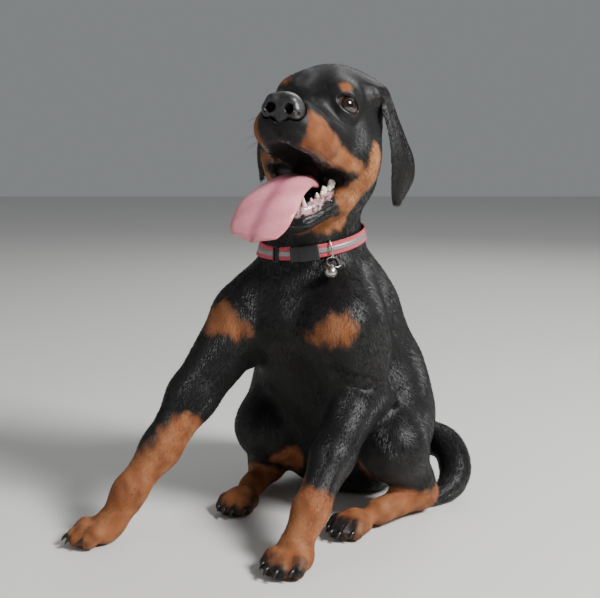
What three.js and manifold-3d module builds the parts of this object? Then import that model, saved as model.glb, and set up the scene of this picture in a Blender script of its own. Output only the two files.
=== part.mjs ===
// A black-and-rust doberman pinscher puppy, about nine weeks old, sitting with its mouth open.
// Millimetres. +Z is up, the chest faces -Y and the puppy's left side is +X.
// Each form is a distance field made of eggs and tapered limbs that melt into each other.
// A net of quads is drawn over the field, and solids are cut apart where one part ends.

import * as THREE from 'three';
import { mergeVertices } from 'three/addons/utils/BufferGeometryUtils.js';
import Module from 'manifold-3d';

// Driving sizes of the whole animal
const SEAM = 0.35;              // gap between neighbouring parts
const FINENESS = 0.02;          // edges shorter than this are dropped
const BODY_CELL = 18.6;          // size of a net cell on the trunk
const NECK_CELL = 14.5;
const LEG_CELL = 10.4;
const SHANK_CELL = 14;          // upwards, above the paw
const PAW_CELL = 6.8;
const TAIL_CELL = 9.4;
const FACE_CELL = 6.7;          // in head units
const JAW_CELL = 6.2;
const NOSE_CELL = 5;
const MELT = 16;                // how far trunk forms melt into each other

// The head: its middle, the way it is turned, and one head unit in millimetres
const HEAD_MIDDLE = [28, -8, 379];
const HEAD_UNIT = 1.15;
const HEAD_YAW = -10;           // degrees, minus is towards the puppy's left
const HEAD_PITCH = 10;          // nose raised
const HEAD_ROLL = -5;
const JAW_OPEN = 36;            // degrees at the hinge of the jaw
const JAW_HINGE = [-8, 0, -22];
const EYE_MIDDLE = [28.5, 23, 15];
const EYE_RADIUS = 11;
const GAZE = [0.7, 0.7, 0.16];

// The neck and its collar
const COLLAR_MIDDLE = [-1, 22, 274];
const COLLAR_AXIS = [-0.05, -0.2, 1];
const COLLAR_WIDTH = 12;
const STRAP_THICKNESS = 2.2;
const BELL_RADIUS = 6;
const RING_RADIUS = 7;
const BUCKLE_ANGLE = 20;        // degrees round the neck from the throat, plus is the puppy's left
const SLIDER_ANGLE = -12;
const RING_ANGLE = 47;


const wasm = await Module();
wasm.setup();

// Vectors are plain arrays of three numbers
const add = (a, b) => [a[0] + b[0], a[1] + b[1], a[2] + b[2]];
const sub = (a, b) => [a[0] - b[0], a[1] - b[1], a[2] - b[2]];
const mul = (a, s) => [a[0] * s, a[1] * s, a[2] * s];
const dot = (a, b) => a[0] * b[0] + a[1] * b[1] + a[2] * b[2];
const cross = (a, b) => [a[1] * b[2] - a[2] * b[1], a[2] * b[0] - a[0] * b[2], a[0] * b[1] - a[1] * b[0]];
const size = (a) => Math.hypot(a[0], a[1], a[2]);
const unit = (a) => mul(a, 1 / size(a));
const mix = (a, b, t) => add(mul(a, 1 - t), mul(b, t));
const clamp = (x, lo, hi) => Math.min(Math.max(x, lo), hi);
const radians = (degrees) => degrees * Math.PI / 180;

// An egg: a ball stretched to three radii, tipped by an angle about the X axis
function egg(middle, radii, tip = 0) {
  const c = Math.cos(radians(tip));
  const s = Math.sin(radians(tip));
  return (p) => {
    const q = sub(p, middle);
    const r = [q[0], c * q[1] + s * q[2], c * q[2] - s * q[1]];
    const near = Math.hypot(r[0] / radii[0], r[1] / radii[1], r[2] / radii[2]);
    const slope = Math.hypot(r[0] / radii[0] ** 2, r[1] / radii[1] ** 2, r[2] / radii[2] ** 2);
    return slope < 1e-9 ? -Math.min(...radii) : near * (near - 1) / slope;
  };
}

// A limb: a round bar whose radius runs evenly from one end to the other
function limb(from, to, radiusFrom, radiusTo) {
  const along = sub(to, from);
  const lengthSquared = dot(along, along);
  return (p) => {
    const t = clamp(dot(sub(p, from), along) / lengthSquared, 0, 1);
    return size(sub(p, mix(from, to, t))) - (radiusFrom + (radiusTo - radiusFrom) * t);
  };
}

// A chain of limbs through a list of [x, y, z, radius]
function chain(points, melt = 6) {
  const bars = points.slice(1).map((q, i) => limb(points[i], q, points[i][3], q[3]));
  return blend(melt, ...bars);
}

// Forms that melt into one, and one form pressed into another
function blend(melt, ...fields) {
  return (p) => fields.map((f) => f(p)).reduce((a, b) => {
    const h = Math.max(melt - Math.abs(a - b), 0) / melt;
    return Math.min(a, b) - h * h * melt / 4;
  });
}

function press(melt, field, ...stamps) {
  return (p) => stamps.map((f) => -f(p)).reduce((a, b) => {
    const h = Math.max(melt - Math.abs(a - b), 0) / melt;
    return Math.max(a, b) + h * h * melt / 4;
  }, field(p));
}

// A net of quads over the surface of a field, inside a box
const CORNERS = [0, 1, 2, 3, 4, 5, 6, 7].map((c) => [c & 1, (c >> 1) & 1, (c >> 2) & 1]);
const EDGES = CORNERS.flatMap((_, a) => [1, 2, 4].filter((bit) => !(a & bit)).map((bit) => [a, a | bit]));
const FACES = [1, 2, 4].flatMap((bit) => [0, bit].map((base) => {
  const [s, t] = [1, 2, 4].filter((other) => other !== bit);
  return [base, base | s, base | s | t, base | t];
}));

function joined(members) {
  const reached = new Set([members[0]]);
  for (let round = 0; round < 8; round += 1) {
    for (const [a, b] of EDGES) {
      if (!members.includes(a) || !members.includes(b)) continue;
      if (reached.has(a)) reached.add(b);
      if (reached.has(b)) reached.add(a);
    }
  }
  return reached.size === members.length;
}

// A cell whose corners are mixed so that its surface would pinch or cross itself
const PINCHED = Array.from({ length: 256 }, (_, pattern) => {
  const inside = CORNERS.map((_c, c) => (pattern >> c) & 1);
  const all = [0, 1, 2, 3, 4, 5, 6, 7];
  const full = all.filter((c) => inside[c]);
  const empty = all.filter((c) => !inside[c]);
  if (!full.length || !empty.length) return false;
  const crossed = FACES.some(([a, b, c, d]) => inside[a] === inside[c] && inside[b] === inside[d]
    && inside[a] !== inside[b]);
  return crossed || !joined(full) || !joined(empty);
});

// Grid lines along one axis, whose spacing may change on the way
function gridLines(lo, hi, cell) {
  const spacing = typeof cell === 'number' ? () => cell : cell;
  const lines = [lo];
  while (lines.at(-1) < hi) lines.push(lines.at(-1) + spacing(lines.at(-1)));
  const stretch = (hi - lo) / (lines.at(-1) - lo);
  return lines.map((x) => lo + (x - lo) * stretch);
}

function net(field, lo, hi, cells, place = (p) => p) {
  const perAxis = Array.isArray(cells) ? cells : [cells, cells, cells];
  const lines = [0, 1, 2].map((n) => gridLines(lo[n], hi[n], perAxis[n]));
  const count = lines.map((line) => line.length);
  const cell = size(sub(hi, lo)) / size(count);
  const index = (i, j, k) => (i * count[1] + j) * count[2] + k;
  const values = new Float64Array(count[0] * count[1] * count[2]);
  for (let i = 0; i < count[0]; i += 1) {
    for (let j = 0; j < count[1]; j += 1) {
      for (let k = 0; k < count[2]; k += 1) {
        const border = i === 0 || j === 0 || k === 0
          || i === count[0] - 1 || j === count[1] - 1 || k === count[2] - 1;
        const value = field([lines[0][i], lines[1][j], lines[2][k]]);
        values[index(i, j, k)] = border ? Math.max(value, cell / 4) : value || 1e-6;
      }
    }
  }
  const cornerIndex = (i, j, k, c) => index(i + CORNERS[c][0], j + CORNERS[c][1], k + CORNERS[c][2]);
  const pattern = (i, j, k) => {
    let bits = 0;
    for (let c = 0; c < 8; c += 1) if (values[cornerIndex(i, j, k, c)] < 0) bits |= 1 << c;
    return bits;
  };
  const everyCell = (visit) => {
    for (let i = 0; i < count[0] - 1; i += 1) {
      for (let j = 0; j < count[1] - 1; j += 1) {
        for (let k = 0; k < count[2] - 1; k += 1) visit(i, j, k);
      }
    }
  };
  let mended = true;
  for (let round = 0; mended && round < 60; round += 1) {
    mended = false;
    everyCell((i, j, k) => {
      if (!PINCHED[pattern(i, j, k)]) return;
      const open = [0, 1, 2, 3, 4, 5, 6, 7].map((c) => cornerIndex(i, j, k, c));
      open.sort((a, b) => Math.abs(values[a]) - Math.abs(values[b]));
      const weakest = open.find((c) => Math.abs(values[c]) > 0);
      values[weakest] = -Math.sign(values[weakest]) * cell * (0.02 + 0.01 * round);
      mended = true;
    });
  }
  const vertices = [];
  const vertexOf = new Map();
  everyCell((i, j, k) => {
    const bits = pattern(i, j, k);
    if (bits === 0 || bits === 255) return;
    let sum = [0, 0, 0];
    let crossings = 0;
    for (const [a, b] of EDGES) {
      const va = values[cornerIndex(i, j, k, a)];
      const vb = values[cornerIndex(i, j, k, b)];
      if ((va < 0) === (vb < 0)) continue;
      sum = add(sum, mix(CORNERS[a], CORNERS[b], va / (va - vb)));
      crossings += 1;
    }
    const share = mul(sum, 1 / crossings);
    const base = [lines[0][i], lines[1][j], lines[2][k]];
    const step = [lines[0][i + 1] - base[0], lines[1][j + 1] - base[1], lines[2][k + 1] - base[2]];
    const start = base.map((x, n) => x + share[n] * step[n]);
    vertexOf.set(index(i, j, k), vertices.length);
    vertices.push(place(settle(field, start, base, step)));
  });
  const triangles = [];
  const quad = (a, b, c, d) => {
    const short = size(sub(vertices[a], vertices[c])) < size(sub(vertices[b], vertices[d]));
    triangles.push(...(short ? [a, b, c, a, c, d] : [a, b, d, b, c, d]));
  };
  const axes = [[1, 0, 0], [0, 1, 0], [0, 0, 1]];
  for (let n = 0; n < 3; n += 1) {
    const [p, q] = [axes[(n + 1) % 3], axes[(n + 2) % 3]];
    for (let i = n === 0 ? 0 : 1; i < count[0] - 1; i += 1) {
      for (let j = n === 1 ? 0 : 1; j < count[1] - 1; j += 1) {
        for (let k = n === 2 ? 0 : 1; k < count[2] - 1; k += 1) {
          const here = values[index(i, j, k)] < 0;
          const next = values[index(i + axes[n][0], j + axes[n][1], k + axes[n][2])] < 0;
          if (here === next) continue;
          const around = [[0, 0], [1, 0], [1, 1], [0, 1]].map(([s, t]) => vertexOf.get(
            index(i - s * p[0] - t * q[0], j - s * p[1] - t * q[1], k - s * p[2] - t * q[2])));
          quad(...(here ? around : around.reverse()));
        }
      }
    }
  }
  return solid(new wasm.Mesh({
    numProp: 3,
    vertProperties: Float32Array.from(vertices.flat()),
    triVerts: Uint32Array.from(triangles),
  }));
}

// A vertex moves onto the surface, but stays in its own cell
function settle(field, start, base, step) {
  let p = start;
  for (let round = 0; round < 3; round += 1) {
    const value = field(p);
    const reach = 0.05;
    const slope = [0, 1, 2].map((n) => {
      const q = [...p];
      q[n] += reach;
      return (field(q) - value) / reach;
    });
    const steep = Math.max(dot(slope, slope), 0.2);
    p = p.map((x, n) => clamp(x - value * slope[n] / steep,
      base[n] + 0.06 * step[n], base[n] + 0.94 * step[n]));
  }
  return p;
}

// Solids, and the largest closed piece of one
function solid(mesh) {
  const whole = new wasm.Manifold(mesh);
  const pieces = whole.decompose();
  return pieces.sort((a, b) => b.volume() - a.volume())[0];
}

function solidOf(geometry) {
  const bare = geometry.clone();
  bare.deleteAttribute('normal');
  bare.deleteAttribute('uv');
  const merged = mergeVertices(bare, 1e-4);
  return new wasm.Manifold(new wasm.Mesh({
    numProp: 3,
    vertProperties: Float32Array.from(merged.attributes.position.array),
    triVerts: Uint32Array.from(merged.index.array),
  }));
}

// A closed skin through rings of points, with a fan over each end, or round and round
function loft(rings, endless = false) {
  const n = rings[0].length;
  const points = rings.flat();
  const triangles = [];
  const bands = endless ? rings.length : rings.length - 1;
  for (let r = 0; r < bands; r += 1) {
    const s = (r + 1) % rings.length;
    for (let i = 0; i < n; i += 1) {
      const j = (i + 1) % n;
      triangles.push(r * n + i, r * n + j, s * n + j, r * n + i, s * n + j, s * n + i);
    }
  }
  if (!endless) {
    for (const [r, flip] of [[0, true], [rings.length - 1, false]]) {
      const hub = points.length;
      points.push(rings[r].reduce(add).map((x) => x / n));
      for (let i = 0; i < n; i += 1) {
        const [a, b] = [r * n + i, r * n + (i + 1) % n];
        triangles.push(...(flip ? [hub, b, a] : [hub, a, b]));
      }
    }
  }
  const shape = new wasm.Manifold(new wasm.Mesh({
    numProp: 3,
    vertProperties: Float32Array.from(points.flat()),
    triVerts: Uint32Array.from(triangles),
  }));
  if (shape.volume() > 0) return shape;
  for (let t = 0; t < triangles.length; t += 3) [triangles[t], triangles[t + 1]] = [triangles[t + 1], triangles[t]];
  return new wasm.Manifold(new wasm.Mesh({
    numProp: 3,
    vertProperties: Float32Array.from(points.flat()),
    triVerts: Uint32Array.from(triangles),
  }));
}

// A smooth curve through named points, as plain arrays
function smoothCurve(points, closed = false) {
  const curve = new THREE.CatmullRomCurve3(points.map((q) => new THREE.Vector3(...q)), closed, 'centripetal');
  return (t) => curve.getPoint(t).toArray();
}

// The head's own frame: forward, left and up, in head units
const forward = [
  -Math.sin(radians(HEAD_YAW)) * Math.cos(radians(HEAD_PITCH)),
  -Math.cos(radians(HEAD_YAW)) * Math.cos(radians(HEAD_PITCH)),
  Math.sin(radians(HEAD_PITCH)),
];
const levelLeft = [Math.cos(radians(HEAD_YAW)), -Math.sin(radians(HEAD_YAW)), 0];
const levelUp = cross(forward, levelLeft);
const rollCos = Math.cos(radians(HEAD_ROLL));
const rollSin = Math.sin(radians(HEAD_ROLL));
const headLeft = add(mul(levelLeft, rollCos), mul(levelUp, rollSin));
const headUp = add(mul(levelUp, rollCos), mul(levelLeft, -rollSin));

function toWorld([f, l, u]) {
  const offset = add(add(mul(forward, f), mul(headLeft, l)), mul(headUp, u));
  return add(HEAD_MIDDLE, mul(offset, HEAD_UNIT));
}

function toHead(p) {
  const q = mul(sub(p, HEAD_MIDDLE), 1 / HEAD_UNIT);
  return [dot(q, forward), dot(q, headLeft), dot(q, headUp)];
}

const inHead = (field) => (p) => field(toHead(p)) * HEAD_UNIT;
const otherSide = ([f, l, u]) => [f, -l, u];
const both = (make) => [make((q) => q), make(otherSide)];


// The jaw turns down about its hinge
function opened([f, l, u]) {
  const c = Math.cos(radians(JAW_OPEN));
  const s = Math.sin(radians(JAW_OPEN));
  const [df, du] = [f - JAW_HINGE[0], u - JAW_HINGE[2]];
  return [JAW_HINGE[0] + c * df + s * du, l, JAW_HINGE[2] + c * du - s * df];
}

function shutAgain([f, l, u]) {
  const c = Math.cos(radians(JAW_OPEN));
  const s = Math.sin(radians(JAW_OPEN));
  const [df, du] = [f - JAW_HINGE[0], u - JAW_HINGE[2]];
  return [JAW_HINGE[0] + c * df - s * du, l, JAW_HINGE[2] + c * du + s * df];
}

// Trunk: deep chest, round puppy belly, broad rump on the ground
const trunk = blend(MELT + 8,
  egg([0, 52, 184], [76, 82, 76], 18),
  egg([0, 82, 126], [91, 84, 75]),
  egg([0, 98, 62], [88, 71, 67]),
  egg([46, -4, 194], [30, 36, 38]),
  egg([-50, -8, 192], [30, 36, 38]),
  limb([14, 18, 240], [50, -6, 204], 38, 36),
  limb([-16, 16, 242], [-52, -12, 200], 37, 35),
  egg([0, -14, 197], [32, 33, 34]));

const neckField = blend(MELT,
  limb([0, 44, 222], [-1, 23, 268], 54, 46),
  limb([-1, 23, 268], [12, 6, 336], 46, 40),
  egg([0, 62, 226], [46, 40, 44]));

// Each leg from its root to the wrist or hock, as x, y, z and radius
const LEG_CHAINS = {
  foreleg_left: [[54, -20, 196, 36], [61, 4, 128, 27], [66, -60, 84, 20], [67, -102, 46, 15.5], [65, -124, 22, 15]],
  foreleg_right: [[-56, -22, 190, 34], [-83, -71, 124, 24], [-94, -108, 80, 18.5], [-106, -142, 44, 15],
    [-114, -154, 22, 14.5]],
  hindleg_left: [[42, 92, 78, 48], [88, 26, 74, 33], [99, 50, 34, 20], [103, 60, 20, 14], [84, 0, 15, 13]],
  hindleg_right: [[-40, 88, 78, 48], [-54, 22, 76, 33], [-70, 48, 34, 20], [-74, 58, 20, 14], [-62, 0, 15, 13]],
};
const PAWS = {
  foreleg_left: { palm: [66, -130, 8.5], heading: -6, spread: 10.4, toe: 9.4 },
  foreleg_right: { palm: [-122, -163, 8.5], heading: -32, spread: 10.4, toe: 9.4 },
  hindleg_left: { palm: [72, -26, 8], heading: -8, spread: 9.2, toe: 8.6 },
  hindleg_right: { palm: [-56, -26, 8], heading: 8, spread: 9.2, toe: 8.6 },
};

// Where the four toes of a paw begin and end
function toesOf({ palm, heading, spread, toe }) {
  const ahead = [Math.sin(radians(heading)), -Math.cos(radians(heading)), 0];
  const aside = [-ahead[1], ahead[0], 0];
  return [-1.5, -0.5, 0.5, 1.5].map((n) => {
    const reach = Math.abs(n) > 1 ? 17 : 25;
    return {
      ahead,
      root: add(palm, add(mul(ahead, 2), add(mul(aside, n * spread * 0.7), [0, 0, 3]))),
      tip: add(palm, add(mul(ahead, reach), mul(aside, n * spread))),
      radius: toe,
    };
  });
}

function pawField(paw) {
  const toes = toesOf(paw).map(({ root, tip, radius }) => limb(root, tip, radius, radius * 0.92));
  return blend(4, egg(add(paw.palm, [0, 0, 3]), [19, 19, 14]), ...toes);
}

const legFields = Object.fromEntries(Object.entries(LEG_CHAINS).map(
  ([name, points]) => [name, blend(8, chain(points, 12), pawField(PAWS[name]))]));

// The long undocked tail curls round to the puppy's left until its tip lies on the ground
const TAIL_CHAIN = [[2, 150, 38, 24], [34, 163, 43, 20], [66, 162, 47, 18], [93, 149, 45, 17],
  [111, 130, 32, 16], [116, 110, 17, 13], [110, 90, 9, 8.5], [104, 76, 6, 5.5]];
const tailField = chain(TAIL_CHAIN, 8);

// Skull, muzzle, flews and cheeks, in head units
const skull = blend(13,
  egg([-14, 0, 8], [45, 43, 44]),
  egg([16, 0, 18], [30, 31, 30]),
  ...both((side) => egg(side([27, 17, 23]), [15, 14, 14])),
  ...both((side) => egg(side([0, 27, -14]), [27, 22, 24])),
  egg([-40, 0, 0], [24, 30, 28]));
const muzzle = blend(9,
  limb([30, 0, -4], [84, 0, -4], 20, 14),
  ...both((side) => limb(side([30, 15, -14]), side([76, 10, -12]), 19, 15.5)),
  ...both((side) => limb(side([54, 15, -18]), side([80, 10, -14]), 13.5, 12)),
  egg([88, 0, -6], [12, 15, 15]));

// The lips run back from the muzzle to the corner and down into the jaw
const cheeks = blend(12,
  ...both((side) => limb(side([4, 26, -26]), side([26, 24, -32]), 22, 14)),
  ...both((side) => limb(side([-6, 24, -34]), opened(side([24, 22, -42])), 21, 12)),
  limb([-18, 0, -28], [-2, 0, -50], 34, 24));
const mouthHollow = blend(6,
  limb([22, 0, -43], [104, 0, -72], 9, 34),
  egg([64, 0, -34], [34, 15, 11]),
  ...both((side) => egg(side([32, 22, -42]), [16, 13, 8])));
const lidSwell = blend(3, ...both((side) => egg(side(EYE_MIDDLE), [13.6, 13.6, 13.6])));
const headShape = blend(5, press(5, blend(11, skull, muzzle, cheeks), mouthHollow), lidSwell);
const neckAndHead = blend(MELT, neckField, inHead(headShape));

// The lower jaw, drawn shut: two arms that meet in the chin, hollow on top for the tongue
const jawShut = press(4,
  blend(8,
    ...both((side) => limb(side([16, 24, -40]), side([66, 10, -34]), 11, 9.5)),
    limb([10, 0, -42], [62, 0, -38], 13, 10),
    egg([67, 0, -35], [12, 13, 10])),
  limb([12, 0, -20], [76, 0, -19], 12, 10));
const jawShape = (q) => jawShut(shutAgain(q));

// The nose leather: a broad pad with swollen wings and a groove down the middle
const noseShape = press(2,
  blend(4,
    egg([92, 0, 1], [11, 14, 10.5]),
    ...both((side) => egg(side([94, 10, -3]), [9, 6.5, 7])),
    egg([94, 0, -9], [6, 5, 6])),
  limb([106, 0, -14], [107, 0, -1], 1.6, 1.2));

// The tongue: middle line with half width and half thickness at each place
const TONGUE = [[12, 0, -42, 9, 4], [30, 0, -45, 12, 4.5], [50, -2, -48, 15, 4.5], [67, -3, -57, 18, 4],
  [80, -4, -71, 20, 3.6], [87, -6, -85, 20.5, 3.2], [90, -8, -96, 16, 2.8], [90.5, -9, -100.5, 8, 2]];

function tongueSolid(grow) {
  const line = smoothCurve(TONGUE.map((q) => q.slice(0, 3)));
  const rings = Array.from({ length: 14 }, (_, r) => {
    const t = r / 13;
    const here = line(t);
    const ahead = unit(sub(line(Math.min(t + 0.01, 1)), line(Math.max(t - 0.01, 0))));
    const aside = [0, 1, 0];
    const up = unit(cross(ahead, aside)).map((x) => -x);
    const place = t * (TONGUE.length - 1);
    const low = Math.min(Math.floor(place), TONGUE.length - 2);
    const share = place - low;
    const wide = TONGUE[low][3] * (1 - share) + TONGUE[low + 1][3] * share + grow;
    const thick = TONGUE[low][4] * (1 - share) + TONGUE[low + 1][4] * share + grow;
    return Array.from({ length: 16 }, (_u, i) => {
      const turn = 2 * Math.PI * i / 16;
      const groove = Math.sin(turn) > 0 ? 1.6 * Math.exp(-((Math.cos(turn) / 0.3) ** 2)) : 0;
      const bowl = 2.4 * Math.cos(turn) ** 2;
      return toWorld(add(here, add(mul(aside, Math.cos(turn) * wide),
        mul(up, Math.sin(turn) * thick - groove + bowl))));
    });
  });
  return loft(rings);
}

// An outline in the Y-Z plane with every wall moved out by a gap
function grownOutline(points, gap) {
  const n = points.length;
  const area = points.reduce((sum, [y, z], i) => {
    const [y2, z2] = points[(i + 1) % n];
    return sum + y * z2 - y2 * z;
  }, 0);
  const turn = Math.sign(area);
  return points.map((q, i) => {
    const before = points[(i + n - 1) % n];
    const after = points[(i + 1) % n];
    const normal = (a, b) => {
      const length = Math.hypot(b[0] - a[0], b[1] - a[1]);
      return [turn * (b[1] - a[1]) / length, -turn * (b[0] - a[0]) / length];
    };
    const [m, k] = [normal(before, q), normal(q, after)];
    const share = gap / (1 + m[0] * k[0] + m[1] * k[1]);
    return [q[0] + share * (m[0] + k[0]), q[1] + share * (m[1] + k[1])];
  });
}

// The room that a limb takes: its side outline carried from one X to another
function room({ outline, x }, gap = 0) {
  const shape = new THREE.Shape(grownOutline(outline, gap).map(([y, z]) => new THREE.Vector2(y, z)));
  const depth = x[1] - x[0] + 2 * gap;
  const geometry = new THREE.ExtrudeGeometry(shape, { depth, bevelEnabled: false });
  geometry.applyMatrix4(new THREE.Matrix4().set(0, 0, 1, x[0] - gap,
    1, 0, 0, 0, 0, 1, 0, 0, 0, 0, 0, 1));
  return solidOf(geometry);
}

const ROOMS = {
  foreleg_left: {
    outline: [[-210, -20], [-210, 90], [-70, 166], [6, 166], [38, 140], [38, 108.6], [13.7, 108.6],
      [-6.5, 88.5], [-34.5, 44.6], [-81, 34.6], [-88, -20]],
    x: [36, 150],
  },
  foreleg_right: {
    outline: [[-230, -20], [-230, 120], [-104, 206], [-2, 130], [-50, 84], [-96, 40], [-122, -20]],
    x: [-200, -42],
  },
  hindleg_left: {
    outline: [[-80, -20], [-80, 34], [-34, 44], [-6, 88], [14, 108], [120, 108], [120, -20]],
    x: [48, 150],
  },
  hindleg_right: {
    outline: [[-90, -20], [-90, 34], [-44, 44], [-20, 84], [10, 108], [120, 108], [120, -20]],
    x: [-150, -40],
  },
};

// A thick plate that stands for all space beyond a plane
function beyond(point, normal, gap = 0) {
  const reach = 400;
  const plate = new THREE.BoxGeometry(2 * reach, 2 * reach, reach);
  plate.translate(0, 0, reach / 2);
  plate.applyQuaternion(new THREE.Quaternion().setFromUnitVectors(
    new THREE.Vector3(0, 0, 1), new THREE.Vector3(...unit(normal))));
  plate.translate(...add(point, mul(unit(normal), gap)));
  return solidOf(plate);
}

const ground = beyond([0, 0, 0], [0, 0, -1]);
const NECK_BASE = [0, 36, 240];
const BASE_RISE = [0.02, -0.2, 0.97];
const NECK_TOP = [8, 10, 312];
const TOP_RISE = [0.06, -0.44, 0.9];

const parts = new Map();

// A finished part: its largest closed piece, without edges too short to matter
function keep(name, shape, colour) {
  const body = shape.setTolerance(FINENESS).decompose().sort((a, b) => b.volume() - a.volume())[0];
  parts.set(name, { body, colour });
}

const BLACK = 0x1b1816;
const RUST = 0x9a5a30;
const PINK = 0xd8929c;

function makeTorso() {
  const field = blend(12, trunk, neckField, ...Object.values(legFields));
  let shape = net(field, [-180, -215, -13], [170, 240, 290], BODY_CELL).subtract(ground);
  shape = shape.subtract(beyond(NECK_BASE, BASE_RISE, -SEAM));
  for (const space of Object.values(ROOMS)) shape = shape.subtract(room(space, SEAM));
  keep('torso', shape.subtract(tailNet(3 * SEAM)), BLACK);
}

function tailNet(grow) {
  return net((p) => tailField(p) - grow, [-34, 58, -14], [142, 196, 78], TAIL_CELL);
}

// A claw: a bent cone rooted in the end of a toe
function claw({ tip, ahead, radius }) {
  const side = [-ahead[1], ahead[0], 0];
  const rings = [[0.2, 1.5, 3.1], [radius * 1.1, 0.4, 2.2], [radius * 1.6, -5, 0.5]]
    .map(([reach, rise, thick]) => Array.from({ length: 5 }, (_, i) => {
      const turn = 2 * Math.PI * i / 5;
      const middle = add(tip, add(mul(ahead, reach), [0, 0, rise]));
      return add(middle, add(mul(side, Math.cos(turn) * thick * 0.8), [0, 0, Math.sin(turn) * thick]));
    }));
  return loft(rings);
}

function makeLegs() {
  const boxes = {
    foreleg_left: [[22, -185, -11], [112, 60, 186]],
    foreleg_right: [[-180, -225, -11], [-24, 24, 226]],
    hindleg_left: [[34, -75, -11], [150, 140, 128]],
    hindleg_right: [[-140, -80, -11], [-26, 140, 128]],
  };
  for (const [name, [lo, hi]] of Object.entries(boxes)) {
    const field = blend(12, trunk, legFields[name]);
    const upward = (z) => (z < 30 ? PAW_CELL : SHANK_CELL);
    const plain = net(field, lo, hi, [LEG_CELL, LEG_CELL, upward]).intersect(room(ROOMS[name]));
    const claws = toesOf(PAWS[name]).map(claw);
    keep(name, claws.reduce((a, b) => a.add(b), plain).subtract(ground), RUST);
  }
}

// The neck is cut again where collar and loop lie in the fur, so it is kept last
let neckBody;

function makeNeck() {
  const field = blend(12, trunk, neckAndHead);
  const whole = net(field, [-100, -80, 205], [100, 135, 345], NECK_CELL);
  neckBody = whole.intersect(beyond(NECK_BASE, BASE_RISE)).subtract(beyond(NECK_TOP, TOP_RISE, -SEAM));
}

function ballAt(q, radius, detail) {
  const ball = new THREE.SphereGeometry(radius * HEAD_UNIT, detail, detail * 0.6);
  ball.translate(...toWorld(q));
  return solidOf(ball);
}

// The slit between the lids: an almond that widens outwards from the middle of the eye
function eyeSlit(side) {
  const gaze = unit(GAZE);
  const across = unit([-0.66, 0.72, -0.12]);
  const upward = unit(cross(across, gaze)).map((x) => -x);
  const ring = (reach, spread) => Array.from({ length: 16 }, (_, i) => {
    const turn = 2 * Math.PI * i / 16;
    const wide = Math.cos(turn) * spread;
    const high = Math.sin(turn) * spread * 0.72 * (0.6 + 0.4 * Math.abs(Math.sin(turn)));
    return toWorld(side(add(add(EYE_MIDDLE, mul(gaze, reach)), add(mul(across, wide), mul(upward, high)))));
  });
  return loft([ring(2, 2.4), ring(8, 8.6), ring(22, 20)]);
}

// A nostril: a round hole at the front that runs back into a slit at the side
function nostril(side) {
  const way = [[109, 5.2, -2.5, 3.4], [104, 5.6, -2.5, 3.2], [99, 7, -2, 2.8], [94, 10, -1, 2]];
  const rings = way.map(([f, l, u, radius]) => Array.from({ length: 9 }, (_, i) => {
    const turn = 2 * Math.PI * i / 9;
    return toWorld(side([f, l + Math.cos(turn) * radius * 0.8, u + Math.sin(turn) * radius]));
  }));
  const slitWay = [[97, 9, -3.5, 1.4], [98, 14, -5, 1.3], [97, 19, -6, 1.2]];
  const slit = slitWay.map(([f, l, u, radius]) => Array.from({ length: 7 }, (_, i) => {
    const turn = 2 * Math.PI * i / 7;
    return toWorld(side([f + Math.cos(turn) * radius * 2, l, u + Math.sin(turn) * radius]));
  }));
  return loft(rings).add(loft(slit));
}

// An ear hangs as a folded leaf: front edge, back edge and how far the middle swells outwards
const EAR = [
  { front: [0, 24, 32], back: [-32, 24, 34], swell: 2 },
  { front: [6, 38, 37], back: [-34, 37, 41], swell: 4 },
  { front: [5, 46, 28], back: [-38, 46, 34], swell: 6 },
  { front: [2, 50, 14], back: [-40, 54, 21], swell: 7 },
  { front: [-4, 54, -2], back: [-45, 60, 5], swell: 6 },
  { front: [-10, 56, -18], back: [-49, 65, -10], swell: 5 },
  { front: [-20, 57, -33], back: [-53, 65, -26], swell: 3.5 },
  { front: [-30, 58, -45], back: [-48, 62, -40], swell: 2 },
  { front: [-38, 59, -51], back: [-42, 60, -49], swell: 0.6 },
];

function swung(leaf, swing) {
  return leaf.map(({ front, back, swell }, r) => {
    const hang = (r / (leaf.length - 1)) ** 2;
    const move = [swing * hang, 0, swing * hang * 0.4];
    return { front: add(front, move), back: add(back, move), swell };
  });
}

function earSolid(side, swing, thick = 1.7) {
  const n = 8;
  const leaf = swung(EAR, swing);
  const rings = leaf.map(({ front, back, swell }, r) => {
    const next = leaf[Math.min(r + 1, leaf.length - 1)];
    const last = leaf[Math.max(r - 1, 0)];
    const across = sub(back, front);
    const down = sub(add(next.front, next.back), add(last.front, last.back));
    const outward = unit(cross(across, down));
    const out = outward[1] < 0 ? mul(outward, -1) : outward;
    const wall = (i, face) => {
      const t = i / n;
      const bulge = 4 * t * (1 - t) * swell;
      const half = thick * Math.min(1, 0.35 + 3 * Math.min(t, 1 - t));
      return toWorld(side(add(mix(front, back, t), mul(out, bulge + face * half))));
    };
    const outer = Array.from({ length: n + 1 }, (_, i) => wall(i, 1));
    const inner = Array.from({ length: n + 1 }, (_, i) => wall(n - i, -1));
    return [...outer, ...inner];
  });
  return loft(rings);
}

// Milk teeth of the lower jaw on their gum, drawn with the mouth shut
const TOOTH_ROW = [[71, 2.2, 2.0, 5, 0], [70, 6.4, 2.0, 5, 0], [65, 10.6, 3.2, 12, 3], [56, 12.5, 2.4, 5, 0],
  [48, 14.5, 2.6, 6, 0], [40, 16.5, 3.0, 8, 0], [30, 18.6, 3.4, 9, 0]];

const GUM_LINE = [[20, 20, -29], [44, 16, -28], [61, 11.5, -27], [71, 4, -26.5], [71, -4, -26.5], [61, -11.5, -27],
  [44, -16, -28], [20, -20, -29]];
const GUM_RADIUS = 4;

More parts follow.
